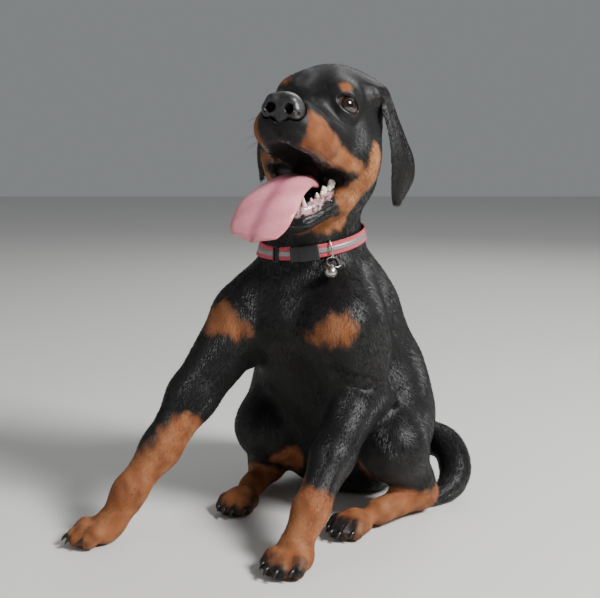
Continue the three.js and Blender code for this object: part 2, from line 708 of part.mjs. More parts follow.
function lowerTeeth(grow) {
  const line = smoothCurve(GUM_LINE);
  const rings = Array.from({ length: 15 }, (_, r) => {
    const t = r / 14;
    const ahead = unit(sub(line(Math.min(t + 0.02, 1)), line(Math.max(t - 0.02, 0))));
    const aside = unit(cross(ahead, [0, 0, 1]));
    const middle = sub(line(t), mul(ahead, r === 0 ? grow : r === 14 ? -grow : 0));
    return Array.from({ length: 8 }, (_u, i) => {
      const turn = Math.PI * i / 4;
      const out = add(mul(aside, Math.cos(turn)), [0, 0, Math.sin(turn)]);
      return toWorld(opened(add(middle, mul(out, GUM_RADIUS + grow))));
    });
  });
  let teeth = loft(rings);
  for (const [f, l, radius, height, lean] of TOOTH_ROW) {
    for (const sign of [1, -1]) teeth = teeth.add(tooth([f, sign * l, -24.5], radius, height, lean, grow));
  }
  return teeth;
}

function tooth([f, l, u], radius, height, lean, grow) {
  const rings = [[-4 - grow, 1], [height * 0.4, 0.86], [height + grow, 0.16]].map(([rise, share]) =>
    Array.from({ length: 5 }, (_, i) => {
      const turn = 2 * Math.PI * i / 5;
      return toWorld(opened([f + Math.cos(turn) * (radius * share * 1.3 + grow) + lean * rise / 10,
        l + Math.sin(turn) * (radius * share + grow), u + rise]));
    }));
  return loft(rings);
}

function makeHead() {
  const lengthwise = (f) => (f > 8 ? FACE_CELL : 1.5 * FACE_CELL);
  const field = (q) => neckAndHead(toWorld(q));
  const cells = [lengthwise, 1.13 * FACE_CELL, 1.13 * FACE_CELL];
  let shape = net(field, [-72, -66, -92], [104, 66, 62], cells, toWorld);
  const besideHead = net((q) => field(q) - 3 * SEAM, [-72, -66, -92], [104, 66, 62], cells, toWorld);
  shape = shape.intersect(beyond(NECK_TOP, TOP_RISE));
  for (const [side, name, swing] of [[(q) => q, 'left', 0], [otherSide, 'right', 16]]) {
    shape = shape.subtract(ballAt(side(EYE_MIDDLE), EYE_RADIUS + 0.3, 14));
    shape = shape.subtract(eyeSlit(side));
    keep(`eye_${name}`, ballAt(side(EYE_MIDDLE), EYE_RADIUS, 14), BLACK);
    keep(`ear_${name}`, earSolid(side, swing).subtract(besideHead), BLACK);
  }
  const noseBox = [[76, -19, -18], [108, 19, 15]];
  const nose = net(noseShape, ...noseBox, NOSE_CELL, toWorld);
  shape = shape.subtract(net((q) => noseShape(q) - 2 * SEAM, ...noseBox, NOSE_CELL, toWorld));
  keep('nose', both(nostril).reduce((a, b) => a.subtract(b), nose), BLACK);
  shape = shape.subtract(tongueSolid(SEAM)).subtract(lowerTeeth(SEAM));
  keep('tongue', tongueSolid(0), PINK);
  keep('head', shape, BLACK);

  const parted = (q) => Math.max(jawShape(q), 1.1 - neckAndHead(toWorld(q)) / HEAD_UNIT);
  let jaw = net(parted, [-10, -44, -100], [78, 44, -20], JAW_CELL, toWorld);
  jaw = jaw.subtract(tongueSolid(SEAM)).subtract(lowerTeeth(SEAM)).subtract(neckBody);
  keep('jaw', jaw, RUST);
  const teeth = lowerTeeth(0).subtract(tongueSolid(SEAM));
  keep('teeth_lower', teeth, 0xe9e0d0);
}

// The collar lies on the neck: each point of it is found by going out from the neck's middle line
const collarUp = unit(COLLAR_AXIS);
const collarRight = unit(cross([0, 1, 0], collarUp));
const collarBack = cross(collarUp, collarRight);

function collarWay(angle) {
  return add(mul(collarRight, Math.sin(radians(angle))), mul(collarBack, -Math.cos(radians(angle))));
}

function onNeck(angle, rise, lift) {
  const start = add(COLLAR_MIDDLE, mul(collarUp, rise));
  const way = collarWay(angle);
  let [near, far] = [15, 110];
  for (let round = 0; round < 24; round += 1) {
    const half = (near + far) / 2;
    if (neckSkin(add(start, mul(way, half))) < 0) near = half;
    else far = half;
  }
  return add(start, mul(way, near + lift));
}

const neckSkin = blend(12, trunk, neckField);

// A point moved outwards until it stands clear of the neck and chest
function clearOf(point, out, clearance) {
  let p = point;
  while (neckSkin(p) < clearance) p = add(p, mul(out, 0.4));
  return p;
}

// A stretch of webbing or moulded plastic on the neck, between two angles or all round
function band(from, to, width, lift, thickness, steps, endless = false) {
  const rings = Array.from({ length: endless ? steps : steps + 1 }, (_, i) => {
    const angle = from + (to - from) * i / steps;
    const half = width / 2;
    return [[-half, lift], [half, lift], [half, lift + thickness * 0.7], [half * 0.8, lift + thickness],
      [-half * 0.8, lift + thickness], [-half, lift + thickness * 0.7]]
      .map(([rise, out]) => onNeck(angle, rise, out));
  });
  return loft(rings, endless);
}

// A flat closed loop of round wire through points that a function gives for each turn
function wire(pointAt, thickness, steps) {
  const flat = unit(cross(sub(pointAt(0.25), pointAt(0)), sub(pointAt(0.5), pointAt(0))));
  const rings = Array.from({ length: steps }, (_, i) => {
    const here = pointAt(i / steps);
    const ahead = unit(sub(pointAt((i + 0.5) / steps), pointAt((i - 0.5) / steps)));
    const lift = cross(ahead, flat);
    return Array.from({ length: 6 }, (_u, k) => {
      const turn = Math.PI * k / 3;
      return add(here, mul(add(mul(flat, Math.cos(turn)), mul(lift, Math.sin(turn))), thickness));
    });
  });
  return loft(rings, true);
}

function makeCollar() {
  const strapLift = 0.9;
  const seat = band(0, 360, COLLAR_WIDTH + 2 * SEAM, strapLift - SEAM, 8, 26, true);
  neckBody = neckBody.subtract(seat);
  keep('collar_strap', band(0, 360, COLLAR_WIDTH, strapLift, STRAP_THICKNESS, 26, true), 0xd9505a);
  const outside = strapLift + STRAP_THICKNESS + 0.4;
  keep('collar_buckle', band(BUCKLE_ANGLE - 15, BUCKLE_ANGLE + 15, 15, outside, 4.6, 6), 0x161616);
  keep('collar_slider', band(SLIDER_ANGLE - 3, SLIDER_ANGLE + 3, 15.5, outside, 2.4, 2), 0x161616);
  const middle = onNeck(RING_ANGLE, 0, strapLift + STRAP_THICKNESS / 2);
  const rise = unit(sub(onNeck(RING_ANGLE, 5, 0), onNeck(RING_ANGLE, -5, 0)));
  const out = unit(cross(cross(rise, collarWay(RING_ANGLE)), rise));
  const loop = (grow) => wire((t) => add(middle, add(mul(rise, Math.cos(2 * Math.PI * t) * 9.5 - 1),
    mul(out, Math.sin(2 * Math.PI * t) * 4.2))), 0.9 + grow, 18);
  keep('collar_loop', loop(0), 0xb9bcc0);
  neckBody = neckBody.subtract(loop(SEAM));
  const foot = add(middle, mul(rise, -10.5));
  const side = unit(cross([0, 0, 1], out));
  const slope = unit(sub(clearOf(add(foot, [0, 0, -14]), out, 5), foot));
  const ringMiddle = add(add(foot, mul(rise, 2.1)), mul(slope, RING_RADIUS));
  const circle = (middlePoint, first, second, radius) => (t) => add(middlePoint, mul(
    add(mul(first, Math.cos(2 * Math.PI * t)), mul(second, Math.sin(2 * Math.PI * t))), radius));
  keep('split_ring', wire(circle(ringMiddle, side, slope, RING_RADIUS), 0.8, 18), 0xb9bcc0);
  const sway = unit(add(slope, mul(side, -0.5)));
  const catchPoint = add(ringMiddle, mul(sway, RING_RADIUS));
  const bellMiddle = clearOf(add(catchPoint, mul(sway, BELL_RADIUS + 2.7)), out, BELL_RADIUS + 0.9);
  const hang = unit(sub(bellMiddle, catchPoint));
  const eye = wire(circle(add(catchPoint, mul(hang, 0.7)), hang, cross(side, slope), 2.7), 0.7, 12);
  const ball = new THREE.SphereGeometry(BELL_RADIUS, 12, 8);
  ball.translate(...bellMiddle);
  keep('bell', solidOf(ball).add(eye), 0xa9a596);
}

makeNeck();
makeCollar();
makeTorso();
makeLegs();
keep('tail', tailNet(0).subtract(ground), BLACK);
makeHead();
keep('neck', neckBody, BLACK);

const puppy = new THREE.Group();
for (const [name, { body, colour }] of parts) {
  const mesh = body.getMesh();
  const geometry = new THREE.BufferGeometry();
  geometry.setAttribute('position', new THREE.BufferAttribute(mesh.vertProperties, 3));
  geometry.setIndex(new THREE.BufferAttribute(mesh.triVerts, 1));
  geometry.computeVertexNormals();
  const material = new THREE.MeshStandardMaterial({ color: colour, roughness: 0.8 });
  const piece = new THREE.Mesh(geometry, material);
  piece.name = name;
  puppy.add(piece);
}

// The origin lies on the floor under the middle of the puppy
const extent = new THREE.Box3().setFromObject(puppy);
const middle = extent.getCenter(new THREE.Vector3());
puppy.position.set(-middle.x, -middle.y, -extent.min.z);

export default puppy;
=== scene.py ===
import math

import bmesh
import bpy
import numpy as np
from mathutils import Matrix, Vector
from mathutils.bvhtree import BVHTree


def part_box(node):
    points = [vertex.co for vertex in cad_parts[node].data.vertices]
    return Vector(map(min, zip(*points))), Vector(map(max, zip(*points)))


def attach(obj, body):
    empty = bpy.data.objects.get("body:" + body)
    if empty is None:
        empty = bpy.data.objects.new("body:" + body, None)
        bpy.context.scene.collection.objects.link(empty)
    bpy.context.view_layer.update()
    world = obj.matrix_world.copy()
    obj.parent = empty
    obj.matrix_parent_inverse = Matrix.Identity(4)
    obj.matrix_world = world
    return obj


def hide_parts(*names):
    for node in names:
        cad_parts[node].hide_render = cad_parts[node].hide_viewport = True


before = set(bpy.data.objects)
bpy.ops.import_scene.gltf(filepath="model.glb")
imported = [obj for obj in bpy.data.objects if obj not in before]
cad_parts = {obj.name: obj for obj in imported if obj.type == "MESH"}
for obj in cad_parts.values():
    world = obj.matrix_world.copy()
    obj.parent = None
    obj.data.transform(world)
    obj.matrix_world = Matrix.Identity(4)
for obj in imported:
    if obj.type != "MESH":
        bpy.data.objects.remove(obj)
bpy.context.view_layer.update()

# The head's own frame: forward along the nose, to the puppy's left, and up through the crown.
# The head is turned a little to its left, raised and tipped, and all that is on it is placed in
# head units of 1.15 mm in this frame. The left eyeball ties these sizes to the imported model.
MM = 0.001
HEAD_MIDDLE = np.array([28.0, -8.0, 379.0])
HEAD_UNIT = 1.15
HEAD_YAW, HEAD_PITCH, HEAD_ROLL = (math.radians(turn) for turn in (-10, 10, -5))
EYE_MIDDLE = np.array([28.5, 23.0, 15.0])

forward = np.array([-math.sin(HEAD_YAW) * math.cos(HEAD_PITCH),
                    -math.cos(HEAD_YAW) * math.cos(HEAD_PITCH), math.sin(HEAD_PITCH)])
level_left = np.array([math.cos(HEAD_YAW), -math.sin(HEAD_YAW), 0.0])
level_up = np.cross(forward, level_left)
head_left = level_left * math.cos(HEAD_ROLL) + level_up * math.sin(HEAD_ROLL)
head_up = level_up * math.cos(HEAD_ROLL) - level_left * math.sin(HEAD_ROLL)
head_axes = np.array([forward, head_left, head_up])


def head_to_body(place):
    """A place in head units, as millimetres from the middle of the puppy's stance."""
    return HEAD_MIDDLE + np.asarray(place, float) @ head_axes * HEAD_UNIT


def body_to_head(place):
    return (np.asarray(place, float) - HEAD_MIDDLE) @ head_axes.T / HEAD_UNIT


eye_low, eye_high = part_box("eye_left")
stance = np.array((eye_low + eye_high) / 2) / MM - head_to_body(EYE_MIDDLE)
stance[2] = 0.0


def to_frame(place):
    """Millimetres from the middle of the stance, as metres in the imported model's frame."""
    return (np.asarray(place, float) + stance) * MM


def from_frame(place):
    return np.asarray(place, float) / MM - stance


# The photograph's camera: a portrait lens about a metre from the head, a little above it,
# that looks down and to the puppy's right. Its focal length is 1050 pixels of the 600 x 598 frame.
CAMERA_PLACE = (505, -880, 370)
CAMERA_TURN = math.radians(30)
CAMERA_DROP = math.radians(8.6)
FOCAL_PIXELS = 1050
FRAME_WIDTH_PIXELS = 600
SENSOR_MM = 36

look = Vector((-math.sin(CAMERA_TURN) * math.cos(CAMERA_DROP),
               math.cos(CAMERA_TURN) * math.cos(CAMERA_DROP), -math.sin(CAMERA_DROP)))
lens = bpy.data.cameras.new("portrait_camera")
lens.sensor_width = SENSOR_MM
lens.lens = SENSOR_MM * FOCAL_PIXELS / FRAME_WIDTH_PIXELS
camera = bpy.data.objects.new("portrait_camera", lens)
camera.location = to_frame(CAMERA_PLACE)
camera.rotation_euler = (-look).to_track_quat("Z", "Y").to_euler()
bpy.context.scene.collection.objects.link(camera)
bpy.context.scene.camera = camera


# The puppy's build, as round forms that melt into each other like muscle under loose skin.
# An egg is a stretched ball, a bar is a round limb with a radius at each end. Each gives how far
# a place lies outside it, in millimetres, and the skin is drawn from all of them together.
def egg(place, middle, radii, tip=0.0):
    c, s = math.cos(math.radians(tip)), math.sin(math.radians(tip))
    x, y, z = (place - np.array(middle, float)).T
    q = np.stack([x, c * y + s * z, c * z - s * y], axis=1) / radii
    near = np.linalg.norm(q, axis=1)
    slope = np.linalg.norm(q / radii, axis=1)
    return np.where(slope < 1e-6, -min(radii), near * (near - 1) / np.maximum(slope, 1e-6))


def bar(place, start, end, start_radius, end_radius):
    start, along = np.array(start, float), np.subtract(end, start, dtype=float)
    share = np.clip((place - start) @ along / (along @ along), 0, 1)
    from_line = np.linalg.norm(place - start - share[:, None] * along, axis=1)
    return from_line - (start_radius + (end_radius - start_radius) * share)


def melt(width, *forms):
    whole = forms[0]
    for form in forms[1:]:
        fold = np.maximum(width - np.abs(whole - form), 0) / width
        whole = np.minimum(whole, form) - fold * fold * width / 4
    return whole


def press(width, whole, *stamps):
    for stamp in stamps:
        fold = np.maximum(width - np.abs(whole + stamp), 0) / width
        whole = np.maximum(whole, -stamp) + fold * fold * width / 4
    return whole


def chain(place, width, points):
    return melt(width, *(bar(place, a[:3], b[:3], a[3], b[3]) for a, b in zip(points, points[1:])))


def pair(form, place, *sizes):
    """A form of the head's left side, and its twin on the right."""
    return form(place, *sizes), form(place * (1, -1, 1), *sizes)


# The open mouth turns the jaw down about its hinge in front of the ears
JAW_OPEN = math.radians(36)
JAW_HINGE = np.array([-8.0, 0.0, -22.0])
RIM_HEIGHT = -32.5


def swing_jaw(place, angle):
    f, l, u = (np.asarray(place, float) - JAW_HINGE).T
    c, s = math.cos(angle), math.sin(angle)
    return JAW_HINGE + np.stack([c * f + s * u, l, c * u - s * f], axis=-1)


def opened(place):
    return swing_jaw(place, JAW_OPEN)


def shut_again(place):
    return swing_jaw(place, -JAW_OPEN)


def skull(q):
    return melt(13, egg(q, (-14, 0, 8), (45, 43, 44)), egg(q, (16, 0, 18), (30, 31, 30)),
                *pair(egg, q, (24, 15, 22), (14.5, 13.5, 13)),
                *pair(egg, q, (0, 27, -14), (27, 22, 24)), egg(q, (-40, 0, 0), (24, 30, 28)))


def muzzle(q):
    return melt(9, bar(q, (30, 0, -4), (84, 0, -4), 20, 14),
                *pair(bar, q, (30, 15, -14), (76, 10, -12), 19, 15.5),
                *pair(bar, q, (54, 15, -18), (80, 10, -14), 13.5, 12),
                egg(q, (88, 0, -6), (12, 15, 15)))


def cheeks(q):
    return melt(12, *pair(bar, q, (4, 26, -26), (26, 24, -32), 22, 14),
                *pair(bar, q, (-6, 24, -34), opened((24, 22, -42)), 21, 12),
                bar(q, (-18, 0, -28), (-2, 0, -50), 34, 24))


def mouth_hollow(q):
    return melt(6, bar(q, (22, 0, -43), (104, 0, -72), 9, 34), egg(q, (64, 0, -34), (34, 15, 11)),
                *pair(egg, q, (32, 22, -42), (16, 13, 8)))


def jaw(q):
    shut = shut_again(q)
    arms = melt(8, *pair(bar, shut, (16, 24, -40), (66, 10, -34), 11, 9.5),
                bar(shut, (10, 0, -42), (62, 0, -38), 13, 10),
                egg(shut, (67, 0, -35), (12, 13, 10)))
    return press(4, arms, bar(shut, (12, 0, -20), (76, 0, -19), 12, 10), RIM_HEIGHT - shut[:, 2])


# Lips are rolls of bare black skin that follow the edge of the flews above, and the rim of the
# jaw below, and run together in the corner of the mouth.
UPPER_LIP = [(90, 3, -24), (84, 13, -27), (76, 16, -28.5), (68, 17.5, -29.5), (60, 18.5, -31),
             (52, 19, -32.5), (44, 20, -33.5), (36, 22.5, -35), (28, 27, -37.5), (22, 30.5, -42)]
LOWER_LIP = [(56, 3, -75.5), (51.5, 10, -73.5), (44.5, 15.5, -68.5), (36.5, 20, -63.5),
             (29, 24, -58.2), (22.6, 28, -51.4), (20, 30.5, -44)]
LIP_ROLL = 2.3


def on_left(q):
    """The same place on the head's left side, so that both sides share one form."""
    return np.abs(q) * (0, 1, 0) + q * (1, 0, 1)


def lips(q):
    left = on_left(q)
    return melt(2, *(bar(left, a, b, LIP_ROLL, LIP_ROLL) for line in (UPPER_LIP, LOWER_LIP)
                     for a, b in zip(line, line[1:])))


# The lids are folds of thin bare skin that close round the eyeball in an almond. Its inner corner
# points to the nose, and the upper lid is a little higher than the lower one is deep.
EYE_RADIUS = 11.0
GAZE = np.array([0.7, 0.7, 0.16]) / np.linalg.norm([0.7, 0.7, 0.16])
EYE_ACROSS = np.cross(np.cross(GAZE, [-0.66, 0.72, -0.32]), GAZE)
EYE_ACROSS = EYE_ACROSS / np.linalg.norm(EYE_ACROSS)
EYE_UP = -np.cross(GAZE, EYE_ACROSS)
LID_HALF_WIDTH, LID_HALF_HEIGHT = 10.3, 7.0
LOWER_LID_SHARE = 0.86
CORNER_NARROWING = 0.22
LID_RIM_RADIUS = 1.05
LID_THICKNESS = 0.9
LID_STEPS = 28
SOCKET_DEPTH = 2.5


def lid_rim(turn):
    """A place on the rim of the left lids, on the ball, a turn from the outer corner."""
    wide = math.cos(turn) * LID_HALF_WIDTH
    narrow = 1 - CORNER_NARROWING + CORNER_NARROWING * abs(math.sin(turn))
    high = math.sin(turn) * LID_HALF_HEIGHT * narrow
    high *= 1.0 if high > 0 else LOWER_LID_SHARE
    out = math.sqrt(max((EYE_RADIUS + LID_THICKNESS) ** 2 - wide ** 2 - high ** 2, 1.0))
    return EYE_MIDDLE + GAZE * out + EYE_ACROSS * wide + EYE_UP * high


LID_RIM = [lid_rim(2 * math.pi * n / LID_STEPS) for n in range(LID_STEPS + 1)]


def near_eye(q):
    """The place seen from the eye's middle: out along the gaze, across it and up."""
    away = on_left(q) - EYE_MIDDLE
    return away @ GAZE, away @ EYE_ACROSS, away @ EYE_UP


def lid_opening(q):
    """How far a place lies outside the almond that the lids leave open, looking down the gaze."""
    out, across, up = near_eye(q)
    half_up = LID_HALF_HEIGHT * np.where(up > 0, 1.0, LOWER_LID_SHARE)
    turn = np.arctan2(up / half_up, across / LID_HALF_WIDTH)
    narrow = 1 - CORNER_NARROWING + CORNER_NARROWING * np.abs(np.sin(turn))
    share = np.hypot(across / LID_HALF_WIDTH, up / (half_up * narrow))
    return np.where(out > 0, (share - 1) * LID_HALF_HEIGHT, 20.0)


def eyeball(q, grow):
    out, across, up = near_eye(q)
    return np.sqrt(out ** 2 + across ** 2 + up ** 2) - EYE_RADIUS - grow


def head_form(q):
    """Skull, muzzle, cheeks, jaw, lips and lids as one form, in head units."""
    whole = melt(11, skull(q), muzzle(q), cheeks(q))
    whole = melt(10, whole, *pair(egg, q, (26, 22, 26), (12, 9, 6)),
                 *pair(egg, q, (-14, 33, 32), (18, 13, 13)),
                 *pair(egg, q, (76, 14, -15), (12, 10, 10)))
    whole = press(9, whole, bar(q, (14, 0, 66), (48, 0, 37.5), 11, 11))
    whole = melt(14, whole, egg(q, (-18, 0, 34), (32, 34, 21)))
    whole = press(5, whole, mouth_hollow(q))
    whole = melt(6, whole, jaw(q))
    whole = melt(3, whole, lips(q))
    whole = melt(4, whole, *pair(egg, q, EYE_MIDDLE, (13.4, 13.4, 13.4)))
    socket = np.maximum(lid_opening(q), -eyeball(q, -SOCKET_DEPTH))
    whole = press(1.5, whole, socket)
    left = on_left(q)
    rim = melt(1, *(bar(left, a, b, LID_RIM_RADIUS, LID_RIM_RADIUS)
                    for a, b in zip(LID_RIM, LID_RIM[1:])))
    return melt(1.4, whole, rim)


# Neck, chest, belly and rump of a puppy that slumps on its haunches, in millimetres. The skin is
# loose: it folds in front of the elbow and behind the upper arm.
def neck(p):
    return melt(16, bar(p, (0, 44, 222), (-1, 23, 268), 54, 46),
                bar(p, (-1, 23, 268), (12, 6, 336), 46, 40), egg(p, (0, 62, 226), (46, 40, 44)),
                egg(p, (14, 22, 334), (50, 44, 38)))


def trunk(p):
    return melt(24, egg(p, (0, 52, 184), (76, 82, 76), 18), egg(p, (0, 82, 126), (91, 84, 75)),
                egg(p, (0, 98, 62), (88, 71, 67)), egg(p, (46, -4, 194), (30, 36, 38)),
                egg(p, (-50, -8, 192), (30, 36, 38)), bar(p, (14, 18, 240), (50, -6, 204), 38, 36),
                bar(p, (-16, 16, 242), (-52, -12, 200), 37, 35),
                egg(p, (0, -14, 197), (32, 33, 34)))


# Each leg from its root to the wrist or hock, as x, y, z and radius, and then its foot: the middle
# of the palm, the way the foot points in degrees, how far apart the toes are and their radius.
LEGS = {"foreleg_left": [(54, -20, 196, 36), (61, 4, 128, 27), (66, -60, 84, 20),
                         (67, -102, 46, 15.5), (65, -124, 22, 15)],
        "foreleg_right": [(-56, -22, 190, 34), (-83, -71, 124, 24), (-94, -108, 80, 18.5),
                          (-106, -142, 44, 15), (-114, -154, 22, 14.5)],
        "hindleg_left": [(42, 92, 78, 48), (88, 26, 74, 33), (99, 50, 34, 20), (103, 60, 20, 14),
                         (84, 0, 15, 13)],
        "hindleg_right": [(-40, 88, 78, 48), (-54, 22, 76, 33), (-70, 48, 34, 20),
                          (-74, 58, 20, 14), (-62, 0, 15, 13)]}
FEET = {
    "foreleg_left": {"palm": (66, -130, 8.5), "heading": -6, "spread": 10.4, "toe": 9.4},
    "foreleg_right": {"palm": (-122, -163, 8.5), "heading": -32, "spread": 10.4, "toe": 9.4},
    "hindleg_left": {"palm": (72, -26, 8), "heading": -8, "spread": 9.2, "toe": 8.6},
    "hindleg_right": {"palm": (-56, -26, 8), "heading": 8, "spread": 9.2, "toe": 8.6},
}
TAIL = [(2, 150, 38, 24), (34, 163, 43, 20), (66, 162, 47, 18), (93, 149, 45, 17),
        (111, 130, 32, 16), (116, 110, 17, 13), (110, 90, 9, 8.5), (104, 76, 6, 5.5)]
BENDS_PER_LENGTH = 5
LEGS_BELOW_MM = 245
HEAD_REACH_MM = 175
FAR_OFF = 60.0


def spline_weights(t):
    """The four weights of a smooth curve through a row of points."""
    return ((-t + 2 * t ** 2 - t ** 3) / 2, (2 - 5 * t ** 2 + 3 * t ** 3) / 2,
            (t + 4 * t ** 2 - 3 * t ** 3) / 2, (t ** 3 - t ** 2) / 2)


def smooth_row(points, steps):
    """The same row with steps places to each length, on a smooth curve through the points."""
    row = np.array(points, float)
    ends = np.vstack([row[:1] * 2 - row[1:2], row, row[-1:] * 2 - row[-2:-1]])
    places = [sum(w * e for w, e in zip(spline_weights(n / steps), ends[k:k + 4]))
              for k in range(len(row) - 1) for n in range(steps)]
    return [*places, row[-1]]


TAIL_BENDS = smooth_row(TAIL, BENDS_PER_LENGTH)


def foot_toes(foot):
    """Root, knuckle and tip of the four toes of a foot, the outer two shorter, and their way."""
    turn = math.radians(foot["heading"])
    ahead = np.array([math.sin(turn), -math.cos(turn), 0])
    aside = np.array([-ahead[1], ahead[0], 0])
    toes = []
    for n in (-1.5, -0.5, 0.5, 1.5):
        reach = 17 if abs(n) > 1 else 25
        base = np.array(foot["palm"], float) + aside * n * foot["spread"] * 0.7
        tip = np.array(foot["palm"], float) + aside * n * foot["spread"] + ahead * reach
        toes.append({"root": base + ahead * 2 + (0, 0, 3),
                     "knuckle": (base + tip) / 2 + ahead * 3 + (0, 0, 4.5), "tip": tip,
                     "ahead": ahead, "aside": aside, "radius": foot["toe"]})
    return toes


def foot_form(p, foot):
    toes = foot_toes(foot)
    forms = [melt(3, bar(p, t["root"], t["knuckle"], t["radius"] * 0.92, t["radius"] * 0.9),
                  bar(p, t["knuckle"], t["tip"], t["radius"] * 0.86, t["radius"] * 0.8))
             for t in toes]
    palm = egg(p, np.add(foot["palm"], (0, 0, 3)), (18, 18, 13.5))
    gaps = [bar(p, (a["root"] + b["root"]) / 2 + (0, 0, 11) + a["ahead"] * 6,
                (a["tip"] + b["tip"]) / 2 + a["ahead"] * 5, 1.2, 2.6)
            for a, b in zip(toes, toes[1:])]
    return press(2.4, melt(3.2, palm, *forms), *gaps)


def leg_form(p, name):
    return melt(8, chain(p, 12, LEGS[name]), foot_form(p, FEET[name]))


def body_form(p):
    whole = melt(14, trunk(p), neck(p))
    near = p[:, 2] < LEGS_BELOW_MM
    legs = [np.where(near, leg_form(p, name), FAR_OFF) for name in LEGS]
    whole = melt(12, whole, *legs)
    whole = melt(22, whole, egg(p, (66, 66, 96), (42, 52, 50)), egg(p, (-50, 62, 96), (40, 50, 48)))
    whole = melt(9, whole, egg(p, (70, 6, 172), (20, 30, 40)), egg(p, (-66, -2, 176), (20, 28, 38)),
                 bar(p, (34, 50, 244), (60, -8, 208), 17, 15),
                 bar(p, (-34, 48, 244), (-60, -12, 206), 17, 15))
    folds = [bar(p, (56, -42, 158), (92, -8, 140), 2, 2),
             bar(p, (92, -8, 140), (98, 26, 122), 2, 1),
             bar(p, (88, 44, 206), (97, 36, 128), 1.5, 1.5),
             bar(p, (0, -62, 214), (0, -44, 150), 2.5, 2.5)]
    whole = press(9, whole, *folds)
    return melt(4, whole, *(bar(p, a[:3], b[:3], a[3], b[3])
                            for a, b in zip(TAIL_BENDS, TAIL_BENDS[1:])))


def whole_form(p):
    """The naked puppy: how far each place lies outside its skin, in millimetres, without ears."""
    whole = body_form(p)
    near = np.linalg.norm(p - HEAD_MIDDLE, axis=1) < HEAD_REACH_MM
    if near.any():
        face = np.full(len(p), FAR_OFF)
        face[near] = head_form(body_to_head(p[near])) * HEAD_UNIT
        whole = melt(16, whole, face)
    return whole


# Ears are folded leaves of skin and gristle, 3 mm thick, that hang from the sides of the skull.
# Each row gives the front edge, the back edge and how far the middle of the leaf swells outwards.
EAR_ROWS = [((0, 22, 30), (-32, 22, 32), 2), ((2, 36, 38), (-30, 34, 41), 3),
            ((-1, 43.5, 29), (-30, 42, 35), 4), ((-4, 49, 15), (-32, 49, 22), 4),
            ((-8, 55, -2), (-40, 57.5, 5), 4), ((-12, 58, -18), (-50, 64.5, -9), 4),
            ((-20, 58.5, -33), (-56, 66, -24), 3.5), ((-29, 58, -45), (-52, 63, -37), 2),
            ((-37, 59, -51.5), (-43, 60, -48.5), 0.6)]
EAR_SWING = {"ear_left": 0, "ear_right": 16}
EAR_THICKNESS = 2.6
EAR_RIPPLE = 0.9


def ear_leaf(down, across, swing):
    """A place in the middle of the left ear's leaf, 0 to 1 from root to tip and front to back."""
    place = down * (len(EAR_ROWS) - 1)
    row = min(int(place), len(EAR_ROWS) - 2)
    share = place - row
    rows = [EAR_ROWS[min(max(row + n, 0), len(EAR_ROWS) - 1)] for n in (-1, 0, 1, 2)]
    front, back, swell = (sum(w * np.array(r[k], float)
                              for w, r in zip(spline_weights(share), rows)) for k in range(3))
    move = np.array([1, 0, 0.4]) * swing * down ** 2
    bulge = 4 * across * (1 - across) * swell
    curl = -3.0 * max(0, 0.16 - across) / 0.16 - 2.0 * max(0, across - 0.88) / 0.12
    ripple = EAR_RIPPLE * math.sin(across * 15 + down * 4) * math.sin(math.pi * down)
    middle = front * (1 - across) + back * across + move
    return middle + np.array([0.15, 0.98, 0.05]) * (bulge + (curl + ripple) * min(1, down * 3))


def ear_sheet(name):
    """The ear as a bare sheet, in millimetres from the middle of the stance."""
    sheet = bmesh.new()
    bmesh.ops.create_grid(sheet, x_segments=18, y_segments=44, size=0.5)
    side = (1, 1, 1) if name == "ear_left" else (1, -1, 1)
    for v in sheet.verts:
        leaf = ear_leaf(0.5 - v.co.y, v.co.x + 0.5, EAR_SWING[name])
        v.co = head_to_body(leaf * side)
    bmesh.ops.recalc_face_normals(sheet, faces=sheet.faces)
    return sheet


ear_sheets = {name: ear_sheet(name) for name in EAR_SWING}
ear_trees = [BVHTree.FromBMesh(sheet) for sheet in ear_sheets.values()]


def nearest_on_ears(p):
    """The nearest place in the middle of an ear, or one far off where no ear is near."""
    nearest = p + FAR_OFF
    q = body_to_head(p)
    for n in np.flatnonzero((np.abs(q[:,
                                      1]) > 14) & (q[:,
                                                     0] < 24) & (q[:, 2] > -74) & (q[:, 2] < 58)):
        found = min((tree.find_nearest(p[n]) for tree in ear_trees), key=lambda hit: hit[3])
        nearest[n] = found[0]
    return nearest


# The skin is one sheet over head, trunk, legs, tail and ears. It starts as a copy of the packed
# flesh, is drawn over again in small even squares, finer above the collar than below it, and is
# then laid on the smooth forms above, deeper than them by the depth of the coat.
FLESH = ("head", "jaw", "neck", "torso", *LEGS, "tail")
COLLAR_MIDDLE = np.array([-1.0, 22.0, 274.0])
COLLAR_RISE = np.array([-0.05, -0.2, 1.0]) / np.linalg.norm([-0.05, -0.2, 1.0])
HEAD_SQUARE_MM = 1.75
BODY_SQUARE_MM = 3.0
FLESH_SWELL_MM = 0.3
COAT_DEPTH_MM = 1.2
FACE_COAT_MM = 0.5
FOOT_TOP_MM = 30


def swollen(name, extra):
    """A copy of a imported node, merged and swollen a little so that it runs into its neighbours."""
    copy = bmesh.new()
    copy.from_mesh(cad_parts[name].data)
    bmesh.ops.remove_doubles(copy, verts=copy.verts, dist=1e-6)
    copy.normal_update()
    for v in copy.verts:
        v.co += v.normal * extra * MM
    return copy


